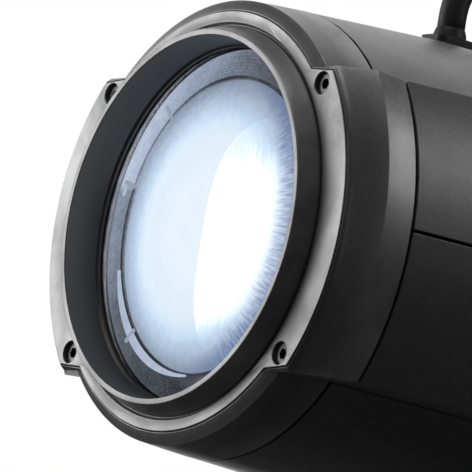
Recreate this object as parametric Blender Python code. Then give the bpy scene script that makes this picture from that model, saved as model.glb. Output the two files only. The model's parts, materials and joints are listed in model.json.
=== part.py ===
"""Follow spot: a long profile head with an 8 inch front lens, tilting in a yoke on a swivel base.

World frame in metres: +Z up, the beam leaves toward -Y, and +X is to the right seen from the front.
The origin is the centre of the base plate's underside. Names ending in _left are on -X.
Head pieces are drawn in the head's own frame: its Y = 0 is the front face of the bezel, its Y axis
is the optical axis, and the empty head_frame places it behind the tilt axis.
"""
import math

import bmesh
import bpy
from mathutils import Matrix, Vector

# ---------------------------------------------------------------- driving dimensions
GAP = 0.0003                       # left between pieces that touch
RUNNING = 0.0004                   # radial clearance of a turning pin in its hole

# base and yoke
AXIS_HEIGHT = 0.520                # tilt axis above the surface the base stands on
BASE_R = 0.210
BASE_T = 0.012
YOKE_DROP = 0.300                  # tilt axis to the top of the yoke's crossbar
CROSSBAR_T = 0.010
ARM_T = 0.008
ARM_W = 0.050
SPINDLE_R = 0.015
SPINDLE_FLANGE_T = 0.008
PIN_R = 0.010                      # tilt pin

# head: front end, radii about the optical axis
RIM_R = 0.105                      # hood ring, outer edge at its front
HOOD_OUT = 0.0116                  # hood ring stands this far ahead of the bezel face
HOOD_WALL = 0.0034
BEZEL_T = 0.010
BEZEL_ROUND_R = RIM_R * 1.121      # bezel's top and bottom arcs
BEZEL_WING_R = RIM_R * 1.250       # bezel's side lobes
LUG_Z = RIM_R * 0.768              # height of the lobes' outer corners
LUG_INNER_Z = RIM_R * 0.782
SCREW_X = RIM_R * 0.915
SCREW_Z = RIM_R * 0.703
COUNTERBORE_R = 0.0062
SCREW_HEAD_R = 0.0057
SCREW_R = 0.003
LENS_R = RIM_R - 0.0022
LENS_CLEAR_R = LENS_R - 0.0030     # what the retaining lips leave visible

# head: body section, three stations along the covers
SHELL_EDGE_R = RIM_R * 1.185       # back of the front shell's chamfer
SHELL_ROUND_R = RIM_R * 1.209
SHELL_WING_R = RIM_R * 1.402       # widest line of the side flare
SEAM_WING_R = RIM_R * 1.391
COVER_ROUND_R = RIM_R * 1.262      # behind the rearward flare
COVER_WING_R = RIM_R * 1.419
WING_Z = RIM_R * 0.797             # height of the side wings' level tops on the front shell
SEAM_WING_Z = RIM_R * 0.786        # the same at the seam behind it
COVER_WING_Z = RIM_R * 0.812
SHEET = 0.0025                     # cover thickness
SEAM = 0.0016                      # open line between covers

# head: stations along the optical axis
HEAD_LENGTH = 0.910
EDGE_Y = 0.0047                    # back of the chamfer
CREASE_Y = 0.0168                  # back of the side flare
SHELL_END_Y = 0.0368
FLARE_END_Y = 0.137
PANEL_T = 0.005
TILT_Y = HEAD_LENGTH * 0.5
LAMP_BAY = 0.365                   # gate bulkhead to the rear face
GATE_Y = HEAD_LENGTH - LAMP_BAY
BULKHEAD_T = 0.006
COLLAR_END_Y = 0.034
BAFFLE_END_Y = 0.170
TRAY_Z = RIM_R * 0.995             # underside of the bulkheads, above the chassis tray
TRAY_T = 0.003

# optics
ROD_R = 0.004
ROD_X = RIM_R * 0.905
ROD_Z = -RIM_R * 0.430
FOCUS_LENS_R = RIM_R * 0.600
ZOOM_LENS_R = RIM_R * 0.545
CARRIAGE_T = 0.014
CARRIAGE_HALF = 0.010              # half length of the bearing bosses
KNOB_Z = RIM_R * 0.350
APERTURE_R = 0.030
CONTROL_Z = RIM_R * 0.905          # rod that the flag and the colour frames swing on
SWING = math.radians(45)           # travel of the flag and of each colour frame
IRIS_SWING = math.radians(40)
FRAME_R = 0.040
FRAME_T = 0.004
FRAME_PITCH = 0.012
FRAME_COUNT = 3
LEVER_UP = 0.030                   # how far lever tips stand above the top cover

BIG = 44                           # sides of the large turned pieces
MEDIUM = 22
PIN_SIDES = 16
SMALL = 10

# colour, metallic, roughness
LOOKS = {
    "grey_coat": ((0.33, 0.33, 0.33), 0.3, 0.5),
    "dark_coat": ((0.045, 0.045, 0.05), 0.2, 0.5),
    "black_coat": ((0.018, 0.018, 0.02), 0.1, 0.55),
    "steel": ((0.45, 0.45, 0.46), 1.0, 0.35),
    "aluminium": ((0.62, 0.62, 0.64), 1.0, 0.4),
    "black_plastic": ((0.02, 0.02, 0.02), 0.0, 0.5),
    "rubber": ((0.02, 0.02, 0.02), 0.0, 0.8),
    "glass": ((0.75, 0.85, 1.0), 0.0, 0.05),
    "led_board": ((0.85, 0.85, 0.6), 0.0, 0.4),
}


# ---------------------------------------------------------------- outlines
def arc(radius, start, end, steps, centre=(0.0, 0.0)):
    """Points along an arc, both ends included; angles in radians."""
    turn = (end - start) / steps
    angles = [start + turn * i for i in range(steps + 1)]
    return [(centre[0] + radius * math.cos(a), centre[1] + radius * math.sin(a)) for a in angles]


def body_outline(round_r, wing_r, wing_z, inner_z=None, wing_steps=6, round_steps=14):
    """Round top and bottom with concentric side wings that end in level faces at +-wing_z."""
    wing = math.asin(wing_z / wing_r)
    top = math.asin((inner_z or wing_z) / round_r)
    points = arc(wing_r, -wing, wing, wing_steps)
    points += arc(round_r, top, math.pi - top, round_steps)
    points += arc(wing_r, math.pi - wing, math.pi + wing, wing_steps)
    points += arc(round_r, math.pi + top, 2 * math.pi - top, round_steps)
    return points


def bezel_outline(inset):
    return body_outline(BEZEL_ROUND_R - inset, BEZEL_WING_R - inset, LUG_Z - inset,
                        LUG_INNER_Z - inset)


def bulkhead_outline():
    """Fills the covers' inside, clear of the side covers' flanges, with a level foot on the tray."""
    inside = SHEET + 0.0006
    round_r = COVER_ROUND_R - inside
    wing_r = COVER_WING_R - inside
    wing_z = COVER_WING_Z - inside
    notch_x = flange_x(COVER_ROUND_R) - 0.0006
    notch = math.acos(notch_x / round_r)
    wing = math.asin(wing_z / wing_r)
    foot = math.asin((TRAY_Z - GAP) / round_r)
    right = arc(round_r, -foot, -notch, 6)
    right += [(notch_x, -wing_z)]
    right += arc(wing_r, -wing, wing, 8)
    right += [(notch_x, wing_z)]
    right += arc(round_r, notch, math.pi / 2, 7)
    left = [(-x, z) for x, z in reversed(right[:-1])]
    return right + left


def flange_x(round_r):
    """Inner edge of a side cover's level flange, which the top and bottom covers rest on."""
    return round_r * 0.66


def rounded_path(corners, radius, steps):
    """A route through corners, each inner corner replaced by an arc-like curve."""
    route = [Vector(corners[0])]
    for before, corner, after in zip(corners, corners[1:], corners[2:]):
        corner = Vector(corner)
        start = corner + (Vector(before) - corner).normalized() * radius
        end = corner + (Vector(after) - corner).normalized() * radius
        for i in range(steps + 1):
            t = i / steps
            route.append(start * (1 - t) ** 2 + corner * 2 * t * (1 - t) + end * t ** 2)
    return route + [Vector(corners[-1])]


# ---------------------------------------------------------------- solids, as bmeshes
def loft(sections, ring=False):
    """Skin sections of equal point count; ring joins the last to the first, else ends are capped."""
    mesh = bmesh.new()
    rows = [[mesh.verts.new(p) for p in section] for section in sections]
    pairs = list(zip(rows, rows[1:]))
    if ring:
        pairs.append((rows[-1], rows[0]))
    count = len(rows[0])
    for a, b in pairs:
        for i in range(count):
            j = (i + 1) % count
            mesh.faces.new((a[i], a[j], b[j], b[i]))
    if not ring:
        mesh.faces.new(rows[0])
        mesh.faces.new(rows[-1])
    return closed(mesh)


def closed(mesh):
    bmesh.ops.recalc_face_normals(mesh, faces=mesh.faces[:])
    return mesh


def along_y(outline, y):
    return [(x, y, z) for x, z in outline]


def prism(outline, start, end, axis="Y"):
    """Outline in the two other axes (XZ, YZ or XY), extruded along axis."""
    place = {
        "X": lambda u, v, w: (w, u, v),
        "Y": lambda u, v, w: (u, w, v),
        "Z": lambda u, v, w: (u, v, w),
    }[axis]
    return loft([[place(u, v, w) for u, v in outline] for w in (start, end)])


def block(x, y, z):
    """Box from (low, high) pairs."""
    return prism([(x[0], z[0]), (x[1], z[0]), (x[1], z[1]), (x[0], z[1])], y[0], y[1])


AXIS_TURN = {
    "X": Matrix.Rotation(-math.pi / 2, 4, "Z"),
    "Y": Matrix.Identity(4),
    "Z": Matrix.Rotation(math.pi / 2, 4, "X"),
}


def turned(profile, sides, axis="Y", centre=(0, 0, 0)):
    """Solid of revolution from (radius, along) points; end points at radius 0 close on the axis."""
    mesh = bmesh.new()
    rows = []
    for radius, along in profile:
        if radius == 0:
            rows.append([mesh.verts.new((0, along, 0))])
            continue
        angles = [2 * math.pi * i / sides for i in range(sides)]
        rows.append([mesh.verts.new((radius * math.cos(a), along, radius * math.sin(a)))
                     for a in angles])
    pairs = list(zip(rows, rows[1:]))
    if len(rows[0]) > 1:
        pairs.append((rows[-1], rows[0]))
    for a, b in pairs:
        for i in range(sides):
            j = (i + 1) % sides
            corners = [a[i % len(a)], a[j % len(a)], b[j % len(b)], b[i % len(b)]]
            mesh.faces.new(list(dict.fromkeys(corners)))
    mesh.transform(Matrix.Translation(centre) @ AXIS_TURN[axis])
    return closed(mesh)


def cylinder(radius, start, end, sides, axis="Y", centre=(0, 0, 0)):
    return turned([(0, start), (radius, start), (radius, end), (0, end)], sides, axis, centre)


def tube(inner, outer, start, end, sides, axis="Y", centre=(0, 0, 0)):
    profile = [(inner, start), (outer, start), (outer, end), (inner, end)]
    return turned(profile, sides, axis, centre)


def bar(start, end, width, y):
    """Flat bar between two (x, z) points, from y[0] to y[1]."""
    a = Vector(start)
    b = Vector(end)
    side = (b - a).normalized()
    side = Vector((-side.y, side.x)) * (width / 2)
    return prism([tuple(a + side), tuple(a - side), tuple(b - side), tuple(b + side)], y[0], y[1])


def swept(route, radius, sides, normal):
    """Round bar along a flat route; normal is square to the route's plane."""
    normal = Vector(normal)
    sections = []
    for i, point in enumerate(route):
        ahead = route[min(i + 1, len(route) - 1)] - route[max(i - 1, 0)]
        side = ahead.normalized().cross(normal)
        ring = arc(radius, 0, 2 * math.pi, sides)[:-1]
        sections.append([point + side * u + normal * v for u, v in ring])
    return loft(sections)


def lobed_knob(radius, start, end, lobes, axis, centre, bore_r=0.0, bore_end=0.0):
    """Hand knob with rounded lobes; a blind bore runs from its start face to bore_end."""
    edge = 0.0025
    sections = []
    for size, along in ((0.93, start), (1.0, start + edge), (1.0, end - edge), (0.88, end)):
        ring = []
        for i in range(lobes * 5):
            angle = 2 * math.pi * i / (lobes * 5)
            reach = size * radius * (0.93 + 0.07 * math.cos(lobes * angle))
            ring.append((reach * math.cos(angle), along, reach * math.sin(angle)))
        sections.append(ring)
    mesh = loft(sections)
    if bore_r:
        mesh = cut(mesh, cylinder(bore_r, start - 0.001, bore_end, PIN_SIDES))
    mesh.transform(Matrix.Translation(centre) @ AXIS_TURN[axis])
    return mesh


def moved(mesh, offset=(0, 0, 0), turn=0.0, pivot=(0, 0, 0)):
    """Turn clockwise seen from the front by turn about pivot, then shift."""
    pivot = Vector(pivot)
    step = Matrix.Translation(pivot + Vector(offset)) @ Matrix.Rotation(turn, 4, "Y")
    mesh.transform(step @ Matrix.Translation(-pivot))
    return mesh


def boolean(base, tools, operation):
    """Join or cut closed solids; the second solver steps in where the first leaves an open edge."""
    target = temporary(base)
    helpers = [temporary(tool) for tool in tools]
    for solver in ("EXACT", "MANIFOLD"):
        target.modifiers.clear()
        for helper in helpers:
            step = target.modifiers.new("step", "BOOLEAN")
            step.operation = operation
            step.solver = solver
            step.object = helper
        graph = bpy.context.evaluated_depsgraph_get()
        baked = bpy.data.meshes.new_from_object(target.evaluated_get(graph))
        mesh = bmesh.new()
        mesh.from_mesh(baked)
        bpy.data.meshes.remove(baked)
        if all(edge.is_manifold for edge in mesh.edges):
            break
    for item in [target] + helpers:
        data = item.data
        bpy.data.objects.remove(item)
        bpy.data.meshes.remove(data)
    return mesh


def temporary(mesh):
    data = bpy.data.meshes.new("shape")
    mesh.to_mesh(data)
    mesh.free()
    item = bpy.data.objects.new("shape", data)
    bpy.context.collection.objects.link(item)
    return item


def cut(base, *tools):
    return boolean(base, tools, "DIFFERENCE")


def union(base, *tools):
    return boolean(base, tools, "UNION")


# ---------------------------------------------------------------- objects
def add(name, mesh, look, parent=None, origin=(0, 0, 0)):
    """Store a solid drawn in its parent's frame as an object whose origin is at origin."""
    mesh.transform(Matrix.Translation(-Vector(origin)))
    data = bpy.data.meshes.new(name)
    mesh.to_mesh(data)
    mesh.free()
    data.shade_smooth()
    data.set_sharp_from_angle(angle=math.radians(32))
    colour, metallic, roughness = LOOKS[look]
    material = bpy.data.materials.new(name)
    material.use_nodes = True
    shader = material.node_tree.nodes["Principled BSDF"]
    shader.inputs["Base Color"].default_value = (*colour, 1.0)
    shader.inputs["Metallic"].default_value = metallic
    shader.inputs["Roughness"].default_value = roughness
    data.materials.append(material)
    item = bpy.data.objects.new(name, data)
    item.location = origin
    item.parent = parent
    bpy.context.collection.objects.link(item)
    return item


def pivot_empty(name, location, parent=None):
    empty = bpy.data.objects.new(name, None)
    empty.location = location
    empty.parent = parent
    bpy.context.collection.objects.link(empty)
    return empty


# ---------------------------------------------------------------- base and yoke
CROSSBAR_TOP = AXIS_HEIGHT - YOKE_DROP
CROSSBAR_BOTTOM = CROSSBAR_TOP - CROSSBAR_T
FLANGE_BOTTOM = CROSSBAR_BOTTOM - GAP - SPINDLE_FLANGE_T
PEDESTAL_TOP = FLANGE_BOTTOM - 0.0005
ARM_X = COVER_WING_R + 0.004
KNOB_START = ARM_X + ARM_T + 0.0006


def build_base():
    plate = turned([(0, 0), (BASE_R, 0), (BASE_R, BASE_T - 0.003), (BASE_R - 0.003, BASE_T),
                    (0, BASE_T)], BIG, "Z")
    add("base_plate", plate, "black_coat")

    bore_r = SPINDLE_R + RUNNING
    bore_floor = PEDESTAL_TOP - 0.066
    foot = BASE_T + GAP
    pedestal = turned([
        (0, foot), (0.075, foot), (0.075, foot + 0.008), (0.040, foot + 0.014), (0.032, foot + 0.024),
        (0.032, bore_floor - 0.012), (0.040, bore_floor), (0.040, PEDESTAL_TOP - 0.002),
        (0.038, PEDESTAL_TOP), (bore_r, PEDESTAL_TOP), (bore_r, bore_floor), (0, bore_floor),
    ], MEDIUM, "Z")
    lock_z = PEDESTAL_TOP - 0.030
    screw_hole = cylinder(0.0055, 0.010, 0.050, SMALL, "Y", (0, 0, lock_z))
    add("pedestal", cut(pedestal, screw_hole), "black_coat")

    knob = union(lobed_knob(0.022, 0.0440, 0.0620, 6, "Y", (0, 0, lock_z)),
                 cylinder(0.005, SPINDLE_R + 0.0006, 0.0500, SMALL, "Y", (0, 0, lock_z)))
    add("pan_lock_knob", knob, "black_plastic", origin=(0, 0.053, lock_z))


def build_yoke(pan):
    """Everything here turns with the pan spindle; pan is the empty on the pan axis."""
    reach = PEDESTAL_TOP - 0.062
    spindle = turned([(0, reach), (SPINDLE_R, reach), (SPINDLE_R, FLANGE_BOTTOM),
                      (0.046, FLANGE_BOTTOM), (0.046, FLANGE_BOTTOM + SPINDLE_FLANGE_T),
                      (0, FLANGE_BOTTOM + SPINDLE_FLANGE_T)], MEDIUM, "Z")
    add("pan_spindle", spindle, "steel", pan)
    half = ARM_X - GAP
    crossbar = block((-half, half), (-0.030, 0.030), (CROSSBAR_BOTTOM, CROSSBAR_TOP))
    add("yoke_crossbar", crossbar, "black_coat", pan)
    top_r = 0.032
    drop = YOKE_DROP + CROSSBAR_T
    neck = math.acos(ARM_W / 2 / top_r)
    outline = arc(top_r, -neck, math.pi + neck, 20)
    outline += [(-ARM_W / 2, -drop), (ARM_W / 2, -drop)]
    outline = [(y, z + AXIS_HEIGHT) for y, z in outline]
    for side, name in ((-1, "left"), (1, "right")):
        faces = sorted((side * ARM_X, side * (ARM_X + ARM_T)))
        arm = prism(outline, faces[0], faces[1], "X")
        bore = cylinder(PIN_R + RUNNING, faces[0] - 0.001, faces[1] + 0.001, PIN_SIDES, "X",
                        (0, 0, AXIS_HEIGHT))
        add("yoke_arm_" + name, cut(arm, bore), "black_coat", pan)
        knob = lobed_knob(0.030, KNOB_START, KNOB_START + 0.030, 7, "X", (0, 0, 0),
                          PIN_R + RUNNING, KNOB_START + 0.022)
        if side < 0:
            knob.transform(Matrix.Rotation(math.pi, 4, "Z"))
        add("tilt_lock_knob_" + name, moved(knob, (0, 0, AXIS_HEIGHT)), "black_plastic", pan,
            (side * (KNOB_START + 0.015), 0, AXIS_HEIGHT))


# ---------------------------------------------------------------- head structure
COLLAR_R = RIM_R * 1.033
FRONT_BULKHEAD_Y = BEZEL_T + GAP
MID_T = 0.010
MID_Y = TILT_Y - 0.025 - GAP - MID_T
LAMP_Y = GATE_Y + 0.075


def screw_centres():
    return [(x * SCREW_X, z * SCREW_Z) for x in (-1, 1) for z in (-1, 1)]


TRAY_HALF = RIM_R * 0.52
TRAY_LOW = -(TRAY_Z + TRAY_T)
TRAY_SIDE = 0.014                  # height of the chassis tray's side flanges


def tray_slots(start, end):
    """Cutters that clear the chassis tray's side flanges."""
    clear = 0.0006
    return [block((x - clear, x + TRAY_T + clear), (start - 0.001, end + 0.001),
                  (-COVER_ROUND_R, TRAY_LOW + TRAY_SIDE + clear))
            for x in (-TRAY_HALF, TRAY_HALF - TRAY_T)]


def build_structure(head):
    y = (FRONT_BULKHEAD_Y, FRONT_BULKHEAD_Y + 0.004)
    front = prism(bezel_outline(0.0), *y)
    collar = cylinder(COLLAR_R, y[0] + 0.001, COLLAR_END_Y, BIG)
    hole = cylinder(LENS_R + RUNNING, y[0] - 0.001, COLLAR_END_Y + 0.001, BIG)
    threads = [cylinder(SCREW_R + RUNNING, y[0] - 0.001, y[1] + 0.001, SMALL, "Y", (x, 0, z))
               for x, z in screw_centres()]
    add("front_bulkhead", cut(union(front, collar), hole, *threads), "aluminium", head)

    half = TRAY_HALF
    top = TRAY_LOW + TRAY_SIDE
    tray = [(-half, TRAY_LOW), (half, TRAY_LOW), (half, top), (half - TRAY_T, top),
            (half - TRAY_T, -TRAY_Z), (-half + TRAY_T, -TRAY_Z), (-half + TRAY_T, top), (-half, top)]
    start = COLLAR_END_Y + GAP
    add("chassis_tray", prism(tray, start, FAN_Y - 0.002), "aluminium", head)

    slots = tray_slots(MID_Y, MID_Y + MID_T)
    opening = cylinder(RIM_R * 0.80, MID_Y - 0.001, MID_Y + MID_T + 0.001, BIG)
    mid = cut(prism(bulkhead_outline(), MID_Y, MID_Y + MID_T), opening, *slots)
    add("mid_bulkhead", mid, "aluminium", head)

    gate_end = GATE_Y + BULKHEAD_T
    slots = tray_slots(GATE_Y, gate_end)
    opening = cylinder(APERTURE_R, GATE_Y - 0.001, gate_end + 0.001, MEDIUM)
    gate = cut(prism(bulkhead_outline(), GATE_Y, gate_end), opening, *slots)
    add("gate_bulkhead", gate, "aluminium", head)

    lamp_end = LAMP_Y + BULKHEAD_T
    slots = tray_slots(LAMP_Y, lamp_end)
    collar = cylinder(0.052, LAMP_Y + 0.001, LAMP_Y + 0.045, MEDIUM)
    bore = cylinder(0.0468, LAMP_Y + 0.003, LAMP_Y + 0.046, MEDIUM)
    opening = cylinder(0.042, LAMP_Y - 0.001, LAMP_Y + 0.010, MEDIUM)
    lamp = union(prism(bulkhead_outline(), LAMP_Y, lamp_end), collar)
    add("lamp_bulkhead", cut(lamp, bore, opening, *slots), "aluminium", head)

    for side, name in ((-1, "left"), (1, "right")):
        face = COVER_WING_R - SHEET - 0.0045
        x = sorted((side * (face - 0.030), side * face))
        foot = block(x, (TILT_Y - 0.025, TILT_Y + 0.025), (-0.022, 0.022))
        ends = sorted((side * (face - 0.005), side * (KNOB_START + 0.021)))
        pin = cylinder(PIN_R, ends[0], ends[1], PIN_SIDES, "X", (0, TILT_Y, 0))
        add("trunnion_" + name, union(foot, pin), "steel", head)


# ---------------------------------------------------------------- front end
def build_front(head):
    edge = 0.0006
    plate = loft([along_y(bezel_outline(edge), 0), along_y(bezel_outline(0), edge),
                  along_y(bezel_outline(0), BEZEL_T)])
    base_r = RIM_R * 1.04
    tip = -HOOD_OUT
    inner_r = RIM_R - HOOD_WALL
    tail = BEZEL_T + 0.0026
    hood = turned([
        (inner_r, tip + edge), (inner_r + edge, tip), (RIM_R - edge, tip), (RIM_R, tip + edge),
        (base_r, 0.0), (base_r, BEZEL_T * 0.5), (LENS_R, BEZEL_T * 0.5), (LENS_R, tail),
        (LENS_CLEAR_R, tail),
    ], BIG)
    opening = cylinder(LENS_R - 0.001, -0.001, BEZEL_T + 0.001, BIG)
    ring = union(cut(plate, opening), hood)
    holes = []
    for x, z in screw_centres():
        holes.append(cylinder(COUNTERBORE_R, -0.001, 0.0070, SMALL + 4, "Y", (x, 0, z)))
        holes.append(cylinder(SCREW_R + RUNNING, 0.005, BEZEL_T + 0.001, SMALL, "Y", (x, 0, z)))
    add("front_bezel", cut(ring, *holes), "grey_coat", head)

    for number, (x, z) in enumerate(screw_centres(), 1):
        head_y = 0.0025
        seat = 0.0067
        screw = turned([(0, head_y), (SCREW_HEAD_R - 0.0005, head_y),
                        (SCREW_HEAD_R, head_y + 0.0005), (SCREW_HEAD_R, seat), (SCREW_R, seat),
                        (SCREW_R, FRONT_BULKHEAD_Y + 0.0035), (0, FRONT_BULKHEAD_Y + 0.0035)],
                       SMALL, "Y", (x, 0, z))
        socket = cylinder(0.0032, head_y - 0.001, head_y + 0.0026, 6, "Y", (x, 0, z))
        add(f"bezel_screw_{number}", cut(screw, socket), "steel", head)

    seat = BEZEL_T + 0.0026
    add("lens_gasket", tube(LENS_CLEAR_R, LENS_R, seat + GAP, seat + 0.0016, BIG), "rubber", head)
    front = seat + 0.0019
    sag = 0.008
    rim = front + 0.006
    cap = 1.0                      # half angle of the lens's front curve
    curve = []
    for i in range(1, 5):
        t = cap * i / 4
        rise = (math.cos(t) - math.cos(cap)) / (1 - math.cos(cap))
        curve.append((LENS_CLEAR_R * math.sin(t) / math.sin(cap), front - sag * rise))
    lens = turned([(0, front - sag)] + curve + [(LENS_R, front), (LENS_R, rim), (0, rim)], BIG)
    add("front_lens", lens, "glass", head)
    add("lens_clamp_ring", tube(LENS_CLEAR_R - 0.002, LENS_R, rim + GAP, rim + 0.005, BIG),
        "black_coat", head)

    small_r = RIM_R * 0.80
    start = COLLAR_END_Y + GAP
    wall = 0.0015
    flange_r = RIM_R * 1.06
    baffle = turned([
        (LENS_CLEAR_R - 0.002, start), (COLLAR_R - 0.001, start), (COLLAR_R - 0.001, start + 0.002),
        (LENS_CLEAR_R - 0.001, start + 0.004), (small_r + wall, BAFFLE_END_Y - 0.004),
        (flange_r, BAFFLE_END_Y - 0.004), (flange_r, BAFFLE_END_Y), (small_r, BAFFLE_END_Y),
    ], BIG)
    foot = block((-0.07, 0.07), (BAFFLE_END_Y - 0.0045, BAFFLE_END_Y + 0.001),
                 (-COVER_ROUND_R, TRAY_LOW + TRAY_SIDE + 0.0006))
    floor = block((-TRAY_HALF, TRAY_HALF), (start - 0.001, start + 0.009),
                  (-COVER_ROUND_R, -TRAY_Z + GAP))
    tools = [foot, floor] + tray_slots(start, start + 0.009)
    add("baffle_tube", cut(baffle, *tools), "black_coat", head)


def build_front_shell(head):
    fit = -0.0004
    lip = bezel_outline(-0.0009)
    outer = [
        along_y(lip, 0.0009),
        along_y(body_outline(SHELL_EDGE_R - 0.0024, BEZEL_WING_R + 0.0014, WING_Z), 0.0030),
        along_y(body_outline(SHELL_EDGE_R + 0.0002, BEZEL_WING_R + 0.0032, WING_Z), EDGE_Y),
        along_y(body_outline(SHELL_EDGE_R + 0.0012, SHELL_WING_R, WING_Z), CREASE_Y),
        along_y(body_outline(SHELL_ROUND_R, SEAM_WING_R, SEAM_WING_Z), SHELL_END_Y),
    ]
    thin = 0.003
    step_y = FRONT_BULKHEAD_Y + 0.0045
    inner = [
        along_y(body_outline(SHELL_ROUND_R - thin, SEAM_WING_R - thin, SEAM_WING_Z - thin),
                SHELL_END_Y),
        along_y(body_outline(SHELL_EDGE_R - thin, SHELL_WING_R - thin - 0.001, WING_Z - thin),
                CREASE_Y + 0.002),
        along_y(bezel_outline(fit), step_y),
        along_y(bezel_outline(fit), 0.0009),
    ]
    add("front_shell", loft(outer + inner, ring=True), "dark_coat", head)


# ---------------------------------------------------------------- covers
COVER_STATIONS = (
    (SHELL_END_Y + SEAM, SHELL_ROUND_R, SEAM_WING_R, SEAM_WING_Z),
    (FLARE_END_Y, COVER_ROUND_R, COVER_WING_R, COVER_WING_Z),
    (HEAD_LENGTH - PANEL_T - GAP, COVER_ROUND_R, COVER_WING_R, COVER_WING_Z),
)


def round_cover(sign):
    """Top cover for sign 1, bottom cover for -1."""
    sections = []
    for y, round_r, _, wing_z in COVER_STATIONS:
        edge_z = wing_z + 0.0004
        outer = math.asin(edge_z / round_r)
        inner = math.asin(edge_z / (round_r - SHEET))
        points = arc(round_r, outer, math.pi - outer, 12)
        points += reversed(arc(round_r - SHEET, inner, math.pi - inner, 12))
        sections.append([(x, y, sign * z) for x, z in points])
    return loft(sections)


def side_cover(side, level):
    """Side cover on x = side, above the split line for level 1 and below it for -1."""
    sections = []
    for y, round_r, wing_r, wing_z in COVER_STATIONS:
        inner_x = flange_x(round_r)
        outer = math.asin(wing_z / wing_r)
        inner_r = wing_r - SHEET
        inner = math.asin((wing_z - SHEET) / inner_r)
        split = SEAM / 2
        points = [(inner_x, wing_z)]
        points += arc(wing_r, outer, math.asin(split / wing_r), 6)
        points += arc(inner_r, math.asin(split / inner_r), inner, 6)
        points += [(inner_x, wing_z - SHEET)]
        sections.append([(side * x, y, level * z) for x, z in points])
    return loft(sections)


def vent_slots(sign, first_y, count, pitch, half_width):
    z = sorted((sign * (COVER_ROUND_R - 0.03), sign * (COVER_ROUND_R + 0.01)))
    return [block((-half_width, half_width), (first_y + i * pitch, first_y + i * pitch + 0.006), z)
            for i in range(count)]


def build_covers(head):
    vents_y = LAMP_Y + 0.080
    vent_count = 8
    z = (COVER_ROUND_R - 0.02, COVER_ROUND_R + 0.01)
    slots = vent_slots(1, vents_y, vent_count, 0.016, 0.045)
    lever_reach = (COVER_ROUND_R - CONTROL_Z) * math.tan(SWING / 2) + 0.010
    slots += [block((-lever_reach, lever_reach), (y - 0.0012, y + FRAME_T + 0.0012), z)
              for y in swing_stations()]
    iris_reach = COVER_ROUND_R * math.sin(IRIS_SWING / 2) + 0.008
    slots.append(block((-iris_reach, iris_reach), (IRIS_Y - 0.0015, IRIS_Y + 0.003 + 0.0015),
                       (COVER_ROUND_R - 0.03, COVER_ROUND_R + 0.01)))
    add("top_cover", cut(round_cover(1), *slots), "grey_coat", head)
    vents = vent_slots(-1, vents_y, vent_count, 0.016, 0.045)
    add("bottom_cover", cut(round_cover(-1), *vents), "dark_coat", head)

    pin_hole_r = PIN_R + 0.0025
    for side, side_name in ((-1, "left"), (1, "right")):
        for level, level_name in ((1, "upper"), (-1, "lower")):
            ends = sorted((side * (COVER_WING_R - 0.02), side * (COVER_WING_R + 0.01)))
            tools = [cylinder(pin_hole_r, ends[0], ends[1], SMALL + 4, "X", (0, TILT_Y, 0))]
            if side < 0 and level > 0:
                half = 0.0055
                for start, _, _ in (FOCUS, ZOOM):
                    y = (start - half, start + TRAVEL + half)
                    tools.append(block(ends, y, (KNOB_Z - half, KNOB_Z + half)))
            add(f"side_cover_{level_name}_{side_name}", cut(side_cover(side, level), *tools),
                "dark_coat", head)


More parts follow.
